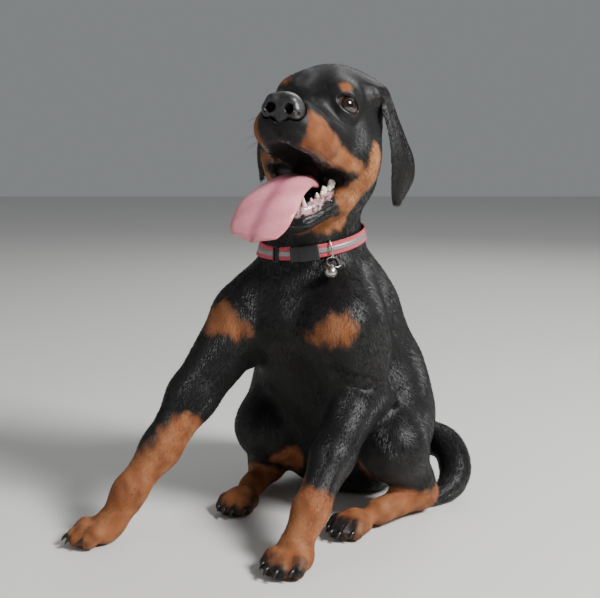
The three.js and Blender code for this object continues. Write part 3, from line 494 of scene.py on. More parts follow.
def redrawn(sources, square_mm):
    """One even net of squares over several closed shapes."""
    whole = bpy.data.meshes.new("flesh")
    together = bmesh.new()
    for source in sources:
        source.to_mesh(whole)
        together.from_mesh(whole)
    together.to_mesh(whole)
    blank = bpy.data.objects.new("flesh", whole)
    bpy.context.scene.collection.objects.link(blank)
    net = blank.modifiers.new("even_net", "REMESH")
    net.mode = "VOXEL"
    net.voxel_size = square_mm * MM
    drawn = bmesh.new()
    drawn.from_mesh(blank.evaluated_get(bpy.context.evaluated_depsgraph_get()).to_mesh())
    bpy.data.objects.remove(blank)
    return drawn


def thick_ear(sheet):
    """The ear's sheet with its real thickness, closed all round."""
    ear = sheet.copy()
    bmesh.ops.solidify(ear, geom=ear.faces[:], thickness=EAR_THICKNESS)
    for v in ear.verts:
        v.co = to_frame(v.co)
    bmesh.ops.recalc_face_normals(ear, faces=ear.faces)
    return ear


def cut_at_collar(half, keep_above):
    """Keeps one side of the plane under the collar, where the two nets meet."""
    cut = to_frame(COLLAR_MIDDLE)
    bmesh.ops.bisect_plane(half, geom=half.verts[:] + half.edges[:] + half.faces[:], dist=1e-7,
                           plane_co=cut, plane_no=COLLAR_RISE, clear_inner=keep_above,
                           clear_outer=not keep_above)


upper = redrawn([swollen(n, FLESH_SWELL_MM) for n in ("head", "jaw", "neck")]
                + [swollen(n, 0) for n in ("eye_left", "eye_right")]
                + [thick_ear(sheet) for sheet in ear_sheets.values()], HEAD_SQUARE_MM)
lower = redrawn([swollen(n, FLESH_SWELL_MM) for n in ("neck", "torso", *LEGS, "tail")],
                BODY_SQUARE_MM)
cut_at_collar(upper, True)
cut_at_collar(lower, False)
skin_mesh = bpy.data.meshes.new("skin")
lower.to_mesh(skin_mesh)
upper.from_mesh(skin_mesh)
open_edges = [e for e in upper.edges if e.is_boundary]
bmesh.ops.bridge_loops(upper, edges=open_edges)
bmesh.ops.recalc_face_normals(upper, faces=upper.faces)
upper.to_mesh(skin_mesh)


def coordinates(mesh):
    flat = np.empty(len(mesh.vertices) * 3)
    mesh.vertices.foreach_get("co", flat)
    return flat.reshape(-1, 3)


def coat_depth(p):
    """The coat is thin on the face, the ears and the feet, and deeper from the nape back."""
    q = body_to_head(p)
    from_head = np.linalg.norm(q, axis=1)
    nape = np.clip((30 - q[:, 0]) / 60, 0, 1) * (from_head < 100)
    depth = np.where(from_head < 110, FACE_COAT_MM + nape * (COAT_DEPTH_MM - FACE_COAT_MM),
                     COAT_DEPTH_MM)
    return np.where(p[:, 2] < FOOT_TOP_MM, FACE_COAT_MM, depth)


def settle(p, outside, rounds, reach=0.3):
    """Moves places down the steepest way onto the surface where a form is 0."""
    for _ in range(rounds):
        value = outside(p)
        slope = np.stack([outside(p + step) - value for step in np.eye(3) * reach], axis=1) / reach
        steep = np.maximum((slope ** 2).sum(axis=1), 0.3)
        p = p - np.clip(value / steep, -4, 4)[:, None] * slope
    return p


def lay_on_body(p, rounds):
    """Lays places on body and ears alike, under the coat and never under the floor."""
    for _ in range(rounds):
        leaf, depth = nearest_on_ears(p), coat_depth(p)

        def outside(place):
            ear = np.linalg.norm(place - leaf, axis=1) - EAR_THICKNESS / 2
            return np.maximum(melt(5, whole_form(place), ear) + depth, -place[:, 2])

        p = settle(p, outside, 1)
    return p


def relax(mesh, rounds):
    soft = bmesh.new()
    soft.from_mesh(mesh)
    for _ in range(rounds):
        bmesh.ops.smooth_vert(soft, verts=soft.verts, factor=0.5, use_axis_x=True, use_axis_y=True,
                              use_axis_z=True)
    soft.to_mesh(mesh)
    soft.free()


def smooth_and_lay(mesh, lay, plan):
    """Relaxes a net and lays it on its form again and again, and gives its last places."""
    for relax_rounds, lay_rounds in plan:
        relax(mesh, relax_rounds)
        places = lay(from_frame(coordinates(mesh)), lay_rounds)
        mesh.vertices.foreach_set("co", to_frame(places).ravel())
    mesh.update()
    return places


def add_piece(mesh, slot, *replaced, smooth=True):
    """Puts a finished mesh in the scene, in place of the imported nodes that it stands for."""
    mesh.polygons.foreach_set("use_smooth", [smooth] * len(mesh.polygons))
    piece = bpy.data.objects.new(mesh.name, mesh)
    bpy.context.scene.collection.objects.link(piece)
    if replaced:
        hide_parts(*replaced)
    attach(piece, "root")
    return piece


skin_places = smooth_and_lay(skin_mesh, lay_on_body, ((2, 2), (3, 1), (1, 1)))
skin = add_piece(skin_mesh, "coat_black", *FLESH, "ear_left", "ear_right")


# The markings: glossy black with clear rust above each eye, on the muzzle, cheeks and throat, in
# two patches on the chest, on the lower legs and feet, and under the tail. Skin and coat ask the
# same function, which gives 1 where the fur is rust and 0 where it is black.
MUZZLE_TOP = [(8, -38), (13, -33), (18, -28), (30, -22), (38, -19), (50, -15), (61, -11), (68, -6),
              (73, -2), (83, 0), (92, -2)]
FACE_REACH = 120
RUST_EDGE_MM = 5.0
BARE_RIM = 2.2
BARE_EDGE_MM = 1.4
PAD_HEIGHT_MM = 2.2


def grain(p, size):
    """A smooth uneven number from -1 to 1 that changes over about a size in millimetres."""
    x, y, z = (p / size).T
    return (np.sin(1.9 * x + 1.3 * y + np.sin(1.7 * z + 0.6 * x)) * 0.5
            + np.sin(2.3 * y - 1.1 * z + np.sin(1.3 * x + 2.0)) * 0.3
            + np.sin(2.9 * z + 2.1 * x - np.sin(2.2 * y)) * 0.2)


def rust_share(p):
    """1 where the fur is rust, 0 where it is black, with an uneven edge a few hairs wide."""
    q = on_left(body_to_head(p))
    f, l, u = q.T
    top = np.interp(f, *zip(*MUZZLE_TOP))
    face = np.maximum.reduce([(u - top) * 0.9, 9 - f, 8 - l + np.maximum(f - 84, 0) * 1.5, -34 - u])
    face = melt(4, face, egg(q, (7, 48, -24), (8.5, 16, 17)),
                bar(q, (6, 44, -36), (14, 33, -52), 10, 11),
                bar(q, (12, 30, -56), (-8, 22, -70), 10, 10),
                egg(q, (38, 25.5, 29), (5.2, 5.4, 3.2)),
                egg(q, (10, 10, -76), (22, 15, 10))) * HEAD_UNIT
    face = np.where(np.linalg.norm(q, axis=1) < FACE_REACH, face, FAR_OFF)
    chest = melt(3, bar(p, (36, -56, 190), (68, -52, 201), 6, 14),
                 bar(p, (-30, -56, 189), (-66, -54, 203), 6, 16))
    chest = (chest + grain(p, 8) * 3) * 0.55
    legs = [bar(p, (67, -100, 46), (66, -134, 6), 21, 24),
            bar(p, (54, -80, 70), (60, -104, 48), 5, 15),
            bar(p, (-78, -92, 100), (-112, -146, 36), 17, 22),
            bar(p, (-114, -152, 24), (-128, -176, 6), 24, 22),
            bar(p, (106, 54, 20), (82, -4, 15), 19, 18), bar(p, (82, -4, 15), (74, -36, 8), 18, 18),
            bar(p, (-72, 54, 20), (-60, -4, 15), 19, 18),
            bar(p, (-60, -4, 15), (-54, -36, 8), 18, 18),
            bar(p, (-36, 60, 40), (-34, 20, 50), 18, 16),
            bar(p, (56, 60, 40), (62, 26, 50), 14, 14), egg(p, (6, 168, 12), (34, 26, 22))]
    away = melt(3, face, chest, *legs)
    away += grain(p, 4.5) * 1.6 + grain(p, 1.6) * 0.8
    toes_black = np.minimum.reduce([egg(p, (70 + 9 * n, -50, 14), (3.2, 12, 9))
                                    for n in (-1.2, -0.4, 0.4, 1.2)])
    away = np.maximum(away, 2 - toes_black)
    return np.clip(0.5 - away / RUST_EDGE_MM, 0, 1)


def bare_share(p):
    """1 on lips, lids, pads and in the mouth, where there is no fur."""
    q = body_to_head(p)
    left = on_left(q)
    rims = [bar(left, a, b, BARE_RIM, BARE_RIM) for a, b in zip(LID_RIM, LID_RIM[1:])]
    head = np.minimum.reduce([lips(q) - 1.0, -mouth_depth(q), *rims])
    head = np.where(np.linalg.norm(q, axis=1) < FACE_REACH, head, FAR_OFF)
    return np.clip(0.5 - np.minimum(head, p[:, 2] - PAD_HEIGHT_MM) / BARE_EDGE_MM, 0, 1)


def mouth_depth(q):
    """How far a place lies inside the open mouth, in head units."""
    tub = bar(shut_again(q), (12, 0, -20), (76, 0, -19), 13.5, 11.5)
    return 1.2 - np.minimum(mouth_hollow(q), tub)


def hex_colour(code):
    """An sRGB hex value as linear red, green, blue and a full alpha."""
    channels = [int(code[n:n + 2], 16) / 255 for n in (1, 3, 5)]
    return [c / 12.92 if c <= 0.04045 else ((c + 0.055) / 1.055) ** 2.4 for c in channels] + [1.0]


def paint(mesh, name, values):
    """Keeps four numbers for each vertex, which a material reads by name."""
    layer = mesh.color_attributes.new(name, "FLOAT_COLOR", "POINT")
    layer.data.foreach_set("color", np.clip(values, 0, 1).astype(np.float32).ravel())


def cells(size_mm):
    """The scale that gives a pattern cells of this size, on places in metres."""
    return 1 / (size_mm * MM)


def add_node(tree, kind, inputs=None, **settings):
    """Adds one node: settings are its own fields, and inputs are values, hex colours or the sockets
    that feed it."""
    node = tree.nodes.new(kind)
    for field, value in settings.items():
        setattr(node, field, value)
    for socket, value in (inputs or {}).items():
        if isinstance(value, bpy.types.NodeSocket):
            tree.links.new(value, node.inputs[socket])
        else:
            value = hex_colour(value) if isinstance(value, str) else value
            node.inputs[socket].default_value = value
    return node


def new_material(name):
    material = bpy.data.materials.new(name)
    material.use_nodes = True
    tree = material.node_tree
    return material, tree, tree.nodes["Principled BSDF"]


def fur_material(name, hair_bump):
    """Short dog's fur: dark glossy shafts that catch a grey light along the lie of the coat. Rust
    fur is matt and pale at the tips. Bare skin on lips and lids is dark, moist and smooth. A hair
    is too fine to show, so the bump is drawn as coarse as a bunch of them."""
    material, tree, shader = new_material(name)
    painted = add_node(tree, "ShaderNodeVertexColor", layer_name="marks").outputs["Color"]
    marks = add_node(tree, "ShaderNodeSeparateColor", {"Color": painted})
    place = add_node(tree, "ShaderNodeTexCoord").outputs["Object"]
    patchy = add_node(tree, "ShaderNodeTexNoise",
                      {"Vector": place, "Scale": cells(11.1), "Detail": 4})
    black = add_node(tree, "ShaderNodeMix", {"Factor": marks.outputs["Blue"], "A": "#060506",
                                             "B": "#1c1a19"}, data_type="RGBA")
    rust = add_node(tree, "ShaderNodeMix", {"Factor": marks.outputs["Blue"], "A": "#54290f",
                                            "B": "#d6a273"}, data_type="RGBA")
    warm = add_node(tree, "ShaderNodeMix",
                    {"Factor": patchy.outputs["Fac"], "A": rust.outputs["Result"], "B": "#8f4f26"},
                    data_type="RGBA")
    fur = add_node(tree, "ShaderNodeMix",
                   {"Factor": marks.outputs["Red"], "A": black.outputs["Result"],
                    "B": warm.outputs["Result"]}, data_type="RGBA")
    lining = add_node(tree, "ShaderNodeAttribute", attribute_name="lining").outputs["Fac"]
    moist = add_node(tree, "ShaderNodeMix", {"Factor": lining, "A": "#161314",
                                             "B": "#341d20"}, data_type="RGBA")
    bare = add_node(tree, "ShaderNodeMix",
                    {"Factor": marks.outputs["Green"], "A": fur.outputs["Result"],
                     "B": moist.outputs["Result"]}, data_type="RGBA")
    gloss = add_node(tree, "ShaderNodeMapRange",
                     {"Value": marks.outputs["Red"], "To Min": 0.42, "To Max": 0.7})
    wet = add_node(tree, "ShaderNodeMix",
                   {"Factor": marks.outputs["Green"], "A": gloss.outputs["Result"], "B": 0.3})
    tree.links.new(bare.outputs["Result"], shader.inputs["Base Color"])
    tree.links.new(wet.outputs["Result"], shader.inputs["Roughness"])
    shader.inputs["Sheen Weight"].default_value = 0.03
    shader.inputs["Specular IOR Level"].default_value = 0.3
    if hair_bump:
        hairs = add_node(tree, "ShaderNodeTexNoise",
                         {"Vector": place, "Scale": cells(0.667), "Detail": 3})
        clumps = add_node(tree, "ShaderNodeTexNoise",
                          {"Vector": place, "Scale": cells(3.125), "Detail": 2})
        height = add_node(tree, "ShaderNodeMath",
                          {0: hairs.outputs["Fac"], 1: clumps.outputs["Fac"]}, operation="ADD")
        strength = add_node(tree, "ShaderNodeMapRange",
                            {"Value": marks.outputs["Green"], "To Min": 0.45, "To Max": 0.12})
        bump = add_node(tree, "ShaderNodeBump",
                        {"Height": height.outputs["Value"], "Distance": 0.0006,
                         "Strength": strength.outputs["Result"]})
        tree.links.new(bump.outputs["Normal"], shader.inputs["Normal"])
    return material


def normals_of(mesh):
    flat = np.empty(len(mesh.vertices) * 3)
    mesh.vertices.foreach_get("normal", flat)
    return flat.reshape(-1, 3)


def turned_inward(p, normals):
    """1 on the inner sides of flews and jaw, which face the mouth and are bare."""
    q, way = body_to_head(p), normals @ head_axes.T
    facing = np.sign(q[:, 1]) * way[:, 1] + 0.12 * (way[:, 2] > -0.2)
    near = (mouth_depth(q) > -11) & (q[:, 0] > 14) & (np.abs(q[:, 1]) > 2) & (q[:, 2] < -12)
    return np.clip(-facing * 6, 0, 1) * near


def softened(mesh, values, rounds):
    """Values on the vertices, each averaged with its neighbours' so that no square shows."""
    edges = np.empty(len(mesh.edges) * 2, int)
    mesh.edges.foreach_get("vertices", edges)
    a, b = edges.reshape(-1, 2).T
    for _ in range(rounds):
        around = np.bincount(a, values[b], len(values)) + np.bincount(b, values[a], len(values))
        values = (values + around) / (1 + np.bincount(edges, minlength=len(values)))
    return values


def tone_of(p):
    """How pale the hair's tips are: tan on cheek and throat, darker on the muzzle."""
    q = body_to_head(p)
    cheek = np.clip((34 - q[:, 0]) / 30, 0, 1) * (np.linalg.norm(q, axis=1) < 110)
    muzzle = np.clip((q[:, 0] - 44) / 20, 0, 1) * (np.linalg.norm(q, axis=1) < FACE_REACH)
    return 0.22 + 0.2 * grain(p, 7) + 0.22 * cheek - 0.12 * muzzle


marks = np.ones((len(skin_places), 4))
marks[:, 0] = rust_share(skin_places)
inner = turned_inward(skin_places, normals_of(skin_mesh))
marks[:, 1] = softened(skin_mesh, np.maximum(bare_share(skin_places), inner), 2)
marks[:, 2] = np.clip(tone_of(skin_places), 0, 1)
paint(skin_mesh, "marks", marks)
lining = skin_mesh.attributes.new("lining", "FLOAT", "POINT")
lining.data.foreach_set("value", np.clip(mouth_depth(body_to_head(skin_places)) / 5 - 0.9, 0, 1))
skin_mesh.materials.append(fur_material("skin_under_fur", True))

bpy.context.view_layer.objects.active = skin
skin.select_set(True)
bpy.ops.object.mode_set(mode="EDIT")
bpy.ops.mesh.select_all(action="SELECT")
bpy.ops.uv.smart_project(angle_limit=math.radians(66), island_margin=0.002)
bpy.ops.object.mode_set(mode="OBJECT")
skin.select_set(False)
skin_mesh.uv_layers[0].name = "OFBake"


# The coat: short, glossy guard hairs that lie flat from the nose back over the head, down the neck
# and trunk, and along legs, ears and tail to their tips. Each tuft is a closed three-sided sliver
# with its root in the skin. Guides say which way the hair lies round them and how long it is.
TUFTS = 330_000
TUFT_SLIMNESS = 0.115
TUFT_RIDGE = 0.35
ROOT_SUNK_MM = 0.35
LIFT_DEGREES = (6, 17)
EAR_LIFT = 0.45
SWERVE_DEGREES = 13
TUFTS_PER_PIECE = 45_000
PATCH = 0.003
BARE_LIMIT = 0.35
UNRULINESS = 0.3
LENGTH_SPREAD = (0.75, 1.2)
SHADE_SPREAD = 0.16
LIP_FRINGE_SHADE = 0.6
ROOT_TO_TIP_SHADE = (0.5, 0.5, 0.6, 1.3)
UNDER_STRAP_MM = 7.2
FLOOR_GAP_MM, TIP_HEIGHT_MM = 0.8, 0.3

HEAD_GUIDES = [((82, 0, 12), (-1, 0, 0.1), 1.9), ((74, 17, -12), (-1, 0.1, -0.2), 2.0),
               ((46, 24, -18), (-0.9, 0.3, -0.35), 2.4), ((48, 0, 20), (-0.8, 0, 0.6), 2.0),
               ((26, 0, 45), (-1, 0, 0.4), 2.5), ((-20, 0, 52), (-1, 0, -0.1), 3.2),
               ((34, 24, 32), (-0.7, 0.5, 0.3), 2.2), ((4, 40, 12), (-0.9, 0.2, -0.4), 2.9),
               ((32, 33, 0), (-0.8, 0.4, -0.5), 2.2), ((6, 46, -24), (-0.6, 0.1, -0.8), 3.1),
               ((22, 30, -58), (-0.8, 0.1, -0.5), 2.7), ((50, 8, -84), (-1, 0, -0.3), 2.4),
               ((-8, 12, -76), (-0.6, 0.1, -0.8), 3.6), ((-58, 20, 20), (-0.5, 0.1, -0.9), 3.7)]
EAR_GUIDES = [((-8, 48, 26), (-0.2, 0.5, -0.8), 2.2), ((-24, 60, 0), (-0.3, 0.1, -1), 2.2),
              ((-36, 62, -30), (-0.4, 0, -1), 2.2)]
BODY_GUIDES = [("neck", (8, -42, 296), (0, 0.05, -1), 4.4),
               ("neck", (52, 20, 296), (0, 0.3, -1), 4.8),
               ("neck", (-46, 20, 296), (0, 0.3, -1), 4.8),
               ("neck", (4, 78, 300), (0, 0.5, -0.9), 5.2),
               ("trunk", (0, -58, 205), (0, -0.1, -1), 4.4),
               ("trunk", (0, -40, 140), (0, 0.3, -1), 4.0),
               ("trunk", (76, 10, 190), (0.1, 0.35, -1), 4.4),
               ("trunk", (-72, 10, 190), (-0.1, 0.35, -1), 4.4),
               ("trunk", (94, 70, 140), (0, 0.5, -0.9), 4.4),
               ("trunk", (-92, 70, 140), (0, 0.5, -0.9), 4.4),
               ("trunk", (0, 110, 230), (0, 0.5, -0.85), 5.2),
               ("trunk", (0, 158, 170), (0, 0.25, -1), 5.2),
               ("trunk", (0, 170, 92), (0, 0, -1), 5.2),
               ("trunk", (70, 120, 90), (0, 0.3, -1), 4.4),
               ("trunk", (-70, 120, 90), (0, 0.3, -1), 4.4),
               ("trunk", (0, 10, 90), (0, 0.3, -1), 3.6)]


def all_guides():
    """Place, way, length, reach and piece of every guide, in millimetres."""
    guides = [(np.array(at, float), np.array(way, float), length, 42, piece)
              for piece, at, way, length in BODY_GUIDES]
    for side in ((1, 1, 1), (1, -1, 1)):
        for rows, piece, reach in ((HEAD_GUIDES, "head", 20), (EAR_GUIDES, "ears", 15)):
            guides += [(head_to_body(np.multiply(at, side)), np.multiply(way, side) @ head_axes,
                        length, reach, piece) for at, way, length in rows]
    for name, row in LEGS.items():
        for n, (a, b) in enumerate(zip(row, row[1:])):
            guides.append((np.add(a[:3], b[:3]) / 2, np.subtract(b[:3], a[:3]), 4.3 - 0.5 * n,
                           30 - 4 * n, name))
        toe, palm = foot_toes(FEET[name])[1], np.array(FEET[name]["palm"])
        guides.append((palm + toe["ahead"] * 12, toe["ahead"] - (0, 0, 0.25), 2.2, 20, name))
    for a, b in zip(TAIL, TAIL[1:]):
        guides.append((np.add(a[:3], b[:3]) / 2, np.subtract(b[:3], a[:3]), 4.8, 24, "tail"))
    return guides


GUIDE_PLACES, GUIDE_WAYS, GUIDE_LENGTHS, GUIDE_REACHES, GUIDE_PIECES = (
    np.array(column) for column in zip(*all_guides()))
GUIDE_WAYS = GUIDE_WAYS / np.linalg.norm(GUIDE_WAYS, axis=1, keepdims=True)


def guided(p):
    """How strongly each guide speaks at each place, all adding up to 1."""
    away = np.linalg.norm(p[:, None] - GUIDE_PLACES, axis=2) / GUIDE_REACHES
    voice = np.exp(-np.minimum(away, 6) ** 2) + 1e-6 / (1 + away ** 4)
    return voice / voice.sum(axis=1, keepdims=True)


def unit(rows):
    return rows / np.maximum(np.linalg.norm(rows, axis=1, keepdims=True), 1e-9)


def under_collar(p):
    """1 under the strap, where the hair is pressed flat."""
    off = (p - COLLAR_MIDDLE) @ COLLAR_RISE
    return (np.abs(off) < UNDER_STRAP_MM) & (np.linalg.norm(p - COLLAR_MIDDLE, axis=1) < 75)


def by_upper_lip(p):
    """1 in the pale fringe over the edge of the upper lip."""
    q = on_left(body_to_head(p))
    edge = np.minimum.reduce([bar(q, a, b, 3, 3) for a, b in zip(UPPER_LIP, UPPER_LIP[1:])])
    return np.clip(1 - edge / 3, 0, 1)


def skin_triangles():
    """Corners, places, normals and unwrap of the skin's triangles."""
    skin_mesh.calc_loop_triangles()
    count = len(skin_mesh.loop_triangles)
    loops, corners = np.empty(count * 3, int), np.empty(count * 3, int)
    skin_mesh.loop_triangles.foreach_get("loops", loops)
    skin_mesh.loop_triangles.foreach_get("vertices", corners)
    unwrap = np.empty(len(skin_mesh.loops) * 2)
    skin_mesh.uv_layers["OFBake"].data.foreach_get("uv", unwrap)
    return corners.reshape(-1,
                           3), normals_of(skin_mesh), unwrap.reshape(-1, 2)[loops].reshape(-1, 3, 2)


def comb():
    """The four corners, rust share, shade, unwrap place and piece of every tuft that is kept."""
    chance = np.random.default_rng(11)
    corners, normals, unwrap = skin_triangles()
    a, b, c = (skin_places[corners[:, n]] for n in range(3))
    area = np.linalg.norm(np.cross(b - a, c - a), axis=1)
    length = guided((a + b + c) / 3) @ GUIDE_LENGTHS
    bare = marks[corners, 1].mean(axis=1) > BARE_LIMIT
    want = area / length ** 2 * ~bare
    picked = chance.choice(len(want), TUFTS, p=want / want.sum())
    mix = chance.random((TUFTS, 3)) ** 0.8
    mix /= mix.sum(axis=1, keepdims=True)
    root = np.einsum("nk,nkd->nd", mix, skin_places[corners[picked]])
    up = unit(np.einsum("nk,nkd->nd", mix, normals[corners[picked]]))
    place = np.einsum("nk,nkd->nd", mix, unwrap[picked])
    voice = guided(root)
    way = voice @ GUIDE_WAYS
    way += UNRULINESS * np.stack([grain(root, 14), grain(root + 40, 13), grain(root - 40, 15)],
                                 axis=1)
    way = unit(way - (way * up).sum(axis=1, keepdims=True) * up)
    side = np.cross(up, way)
    swerve = np.radians(chance.normal(0, SWERVE_DEGREES, TUFTS))[:, None]
    ahead, aside = np.cos(swerve), np.sin(swerve)
    way, side = way * ahead + side * aside, side * ahead - way * aside
    length = voice @ GUIDE_LENGTHS * chance.uniform(*LENGTH_SPREAD, TUFTS)
    piece = GUIDE_PIECES[voice.argmax(axis=1)].astype(object)
    keep = ~under_collar(root + way * length[:, None] * 0.5) & (root[:, 2] > FLOOR_GAP_MM)
    lift = np.radians(chance.uniform(*LIFT_DEGREES, TUFTS)
                      * np.where(piece == "ears", EAR_LIFT, 1))[:, None]
    tip = root + (way * np.cos(lift) + up * np.sin(lift)) * length[:, None]
    tip[:, 2] = np.maximum(tip[:, 2], TIP_HEIGHT_MM)
    shade = tone_of(root) + chance.normal(0, SHADE_SPREAD,
                                          TUFTS) + LIP_FRINGE_SHADE * by_upper_lip(root)
    shade = np.clip(shade, 0, 1)
    half = side * (length * TUFT_SLIMNESS / 2)[:, None]
    sunk = root - up * ROOT_SUNK_MM
    ridge = sunk + up * (length * TUFT_SLIMNESS * TUFT_RIDGE)[:, None]
    places = np.stack([sunk + half, sunk - half, ridge, tip], axis=1)
    return places[keep], rust_share(root)[keep], shade[keep], place[keep], piece[keep]


def hang_coat(name, places, rust, shade, patch):
    """One piece of the coat: four corners and four faces to a tuft."""
    count = len(places)
    mesh = bpy.data.meshes.new(name)
    sliver = np.array([[0, 1, 2], [0, 2, 3], [2, 1, 3], [1, 0, 3]])
    faces = (np.arange(count)[:, None, None] * 4 + sliver).ravel()
    mesh.vertices.add(count * 4)
    mesh.vertices.foreach_set("co", to_frame(places.reshape(-1, 3)).ravel())
    mesh.loops.add(len(faces))
    mesh.loops.foreach_set("vertex_index", faces)
    mesh.polygons.add(count * 4)
    mesh.polygons.foreach_set("loop_start", np.arange(count * 4) * 3)
    mesh.update(calc_edges=True)
    tint = np.ones((count, 4, 4))
    tint[:, :, 0] = rust[:, None]
    tint[:, :, 1] = 0
    tint[:, :, 2] = shade[:, None] * ROOT_TO_TIP_SHADE
    paint(mesh, "marks", tint)
    spread = np.array([[-0.5, -0.5], [0.5, -0.5], [0, 0], [0, 0.5]]) * PATCH
    corner = np.clip(patch[:, None] + spread, 0, 1).reshape(-1, 2)
    layer = mesh.uv_layers.new(name="OFBake")
    layer.data.foreach_set("uv", corner[faces].ravel())
    mesh.materials.append(fur)
    add_piece(mesh, "coat_black", smooth=False)


fur = fur_material("guard_hair", False)
places, rust, shade, patch, piece = comb()
for name in sorted(set(piece)):
    mine = np.flatnonzero(piece == name)
    mine = mine[np.argsort(-places[mine, 0, 0])]
    for n, share in enumerate(np.array_split(mine, math.ceil(len(mine) / TUFTS_PER_PIECE))):
        hang_coat(f"coat_{name}_{n + 1}", places[share], rust[share], shade[share], patch[share])


# Eyes: wet balls whose clear front swells a little over a dark brown iris and a round pupil. Only
# the front shows between the lids, and the white is stained brown. The iris has fine spokes.
PUPIL, IRIS, LIMBUS = 0.24, 0.5, 0.56
CORNEA_SWELL_MM = 0.9
CORNEA_EDGE = math.cos(0.62)
BALL_INSET_MM = 0.25


def eye_material():
    """A clear wet cornea gives one sharp highlight over an iris that looks almost black in shade
    and dark brown in light, with fine spokes."""
    material, tree, shader = new_material("eye_wet_cornea_over_brown_iris")
    seen = add_node(tree, "ShaderNodeUVMap", uv_map="gaze").outputs["UV"]
    off = add_node(tree, "ShaderNodeVectorMath", {0: seen}, operation="LENGTH").outputs["Value"]
    round_the_pupil = add_node(tree, "ShaderNodeVectorMath", {0: seen}, operation="NORMALIZE")
    spokes = add_node(tree, "ShaderNodeTexNoise",
                      {"Vector": round_the_pupil.outputs["Vector"], "Scale": 14, "Detail": 3})
    ramp = add_node(tree, "ShaderNodeValToRGB", {"Fac": off})
    stops = ((PUPIL - 0.02, "#020202"), (PUPIL, "#1a0c06"), ((PUPIL + IRIS) / 2, "#2e170b"),
             (IRIS, "#140a06"), (LIMBUS, "#0b0706"), (0.72, "#5c4a42"))
    while len(ramp.color_ramp.elements) < len(stops):
        ramp.color_ramp.elements.new(0.5)
    for element, (at, code) in zip(ramp.color_ramp.elements, stops):
        element.position = at
        element.color = hex_colour(code)
    shaded = add_node(tree, "ShaderNodeMapRange",
                      {"Value": spokes.outputs["Fac"], "To Min": 0.55, "To Max": 1.3})
    colour = add_node(tree, "ShaderNodeVectorMath",
                      {0: ramp.outputs["Color"], "Scale": shaded.outputs["Result"]},
                      operation="SCALE")
    tree.links.new(colour.outputs["Vector"], shader.inputs["Base Color"])
    shader.inputs["Roughness"].default_value = 0.12
    shader.inputs["Coat Weight"].default_value = 1.0
    shader.inputs["Coat Roughness"].default_value = 0.02
    shader.inputs["Coat IOR"].default_value = 1.38
    return material


def make_eye(name, side, material):
    ball = bmesh.new()
    bmesh.ops.create_uvsphere(ball, u_segments=64, v_segments=40, radius=1)
    layer = ball.loops.layers.uv.new("gaze")
    gaze, across, up = (np.multiply(way, side) for way in (GAZE, EYE_ACROSS, EYE_UP))
    middle = head_to_body(np.multiply(EYE_MIDDLE, side))
    for v in ball.verts:
        swell = CORNEA_SWELL_MM * max(0, v.co.z - CORNEA_EDGE) / (1 - CORNEA_EDGE)
        way = gaze * v.co.z + across * v.co.x + up * v.co.y
        v.co = Vector(to_frame(middle + (way @ head_axes)
                               * (EYE_RADIUS * HEAD_UNIT - BALL_INSET_MM + swell)))
    turned = np.array([gaze, across, up]) @ head_axes
    for face in ball.faces:
        for loop in face.loops:
            way = turned @ (from_frame(loop.vert.co) - middle)
            way = way / np.linalg.norm(way)
            loop[layer].uv = (way[1], way[2]) if way[0] > 0 else (1.0, 0.0)
    bmesh.ops.recalc_face_normals(ball, faces=ball.faces)
    mesh = bpy.data.meshes.new(name + "_ball")
    ball.to_mesh(mesh)
    mesh.materials.append(material)
    add_piece(mesh, "eye", name)


wet_eye = eye_material()
make_eye("eye_left", (1, 1, 1), wet_eye)
make_eye("eye_right", (1, -1, 1), wet_eye)


# The nose: a pad of black leather, pebbled like a football's skin and kept moist. Two commas of
# nostrils open to the front and run out to a slit at each side, and a groove parts the pad below.
NOSTRIL = [(110, 6, -2.2, 4.0), (104, 6.4, -2.5, 3.8), (99, 8, -2, 3.0), (95, 9.5, -1, 2.0)]
NOSTRIL_SLIT = [(101.5, 9, -4.6, 2.0), (99.5, 13.5, -6, 1.6), (97, 18, -7, 1.1)]
NOSE_SQUARE_MM = 0.62


def nose_form(q):
    pad = melt(4, egg(q, (92, 0, 1), (11, 14, 10.5)), *pair(egg, q, (94, 10, -3), (9, 6.5, 7)),
               egg(q, (94, 0, -9), (6, 5, 6)), *pair(egg, q, (98, 7, 4), (6, 5, 4)))
    pad = press(2.2, pad, bar(q, (105, 0, -15), (107.5, 0, 0), 1.3, 0.9))
    left = on_left(q)
    for row in (NOSTRIL, NOSTRIL_SLIT):
        pad = press(1.6, pad, np.minimum.reduce([bar(left, a[:3], b[:3], a[3], b[3])
                                                 for a, b in zip(row, row[1:])]))
    return pad


def lay_on_nose(p, rounds):
    return settle(p, lambda at: nose_form(body_to_head(at)) * HEAD_UNIT, rounds)


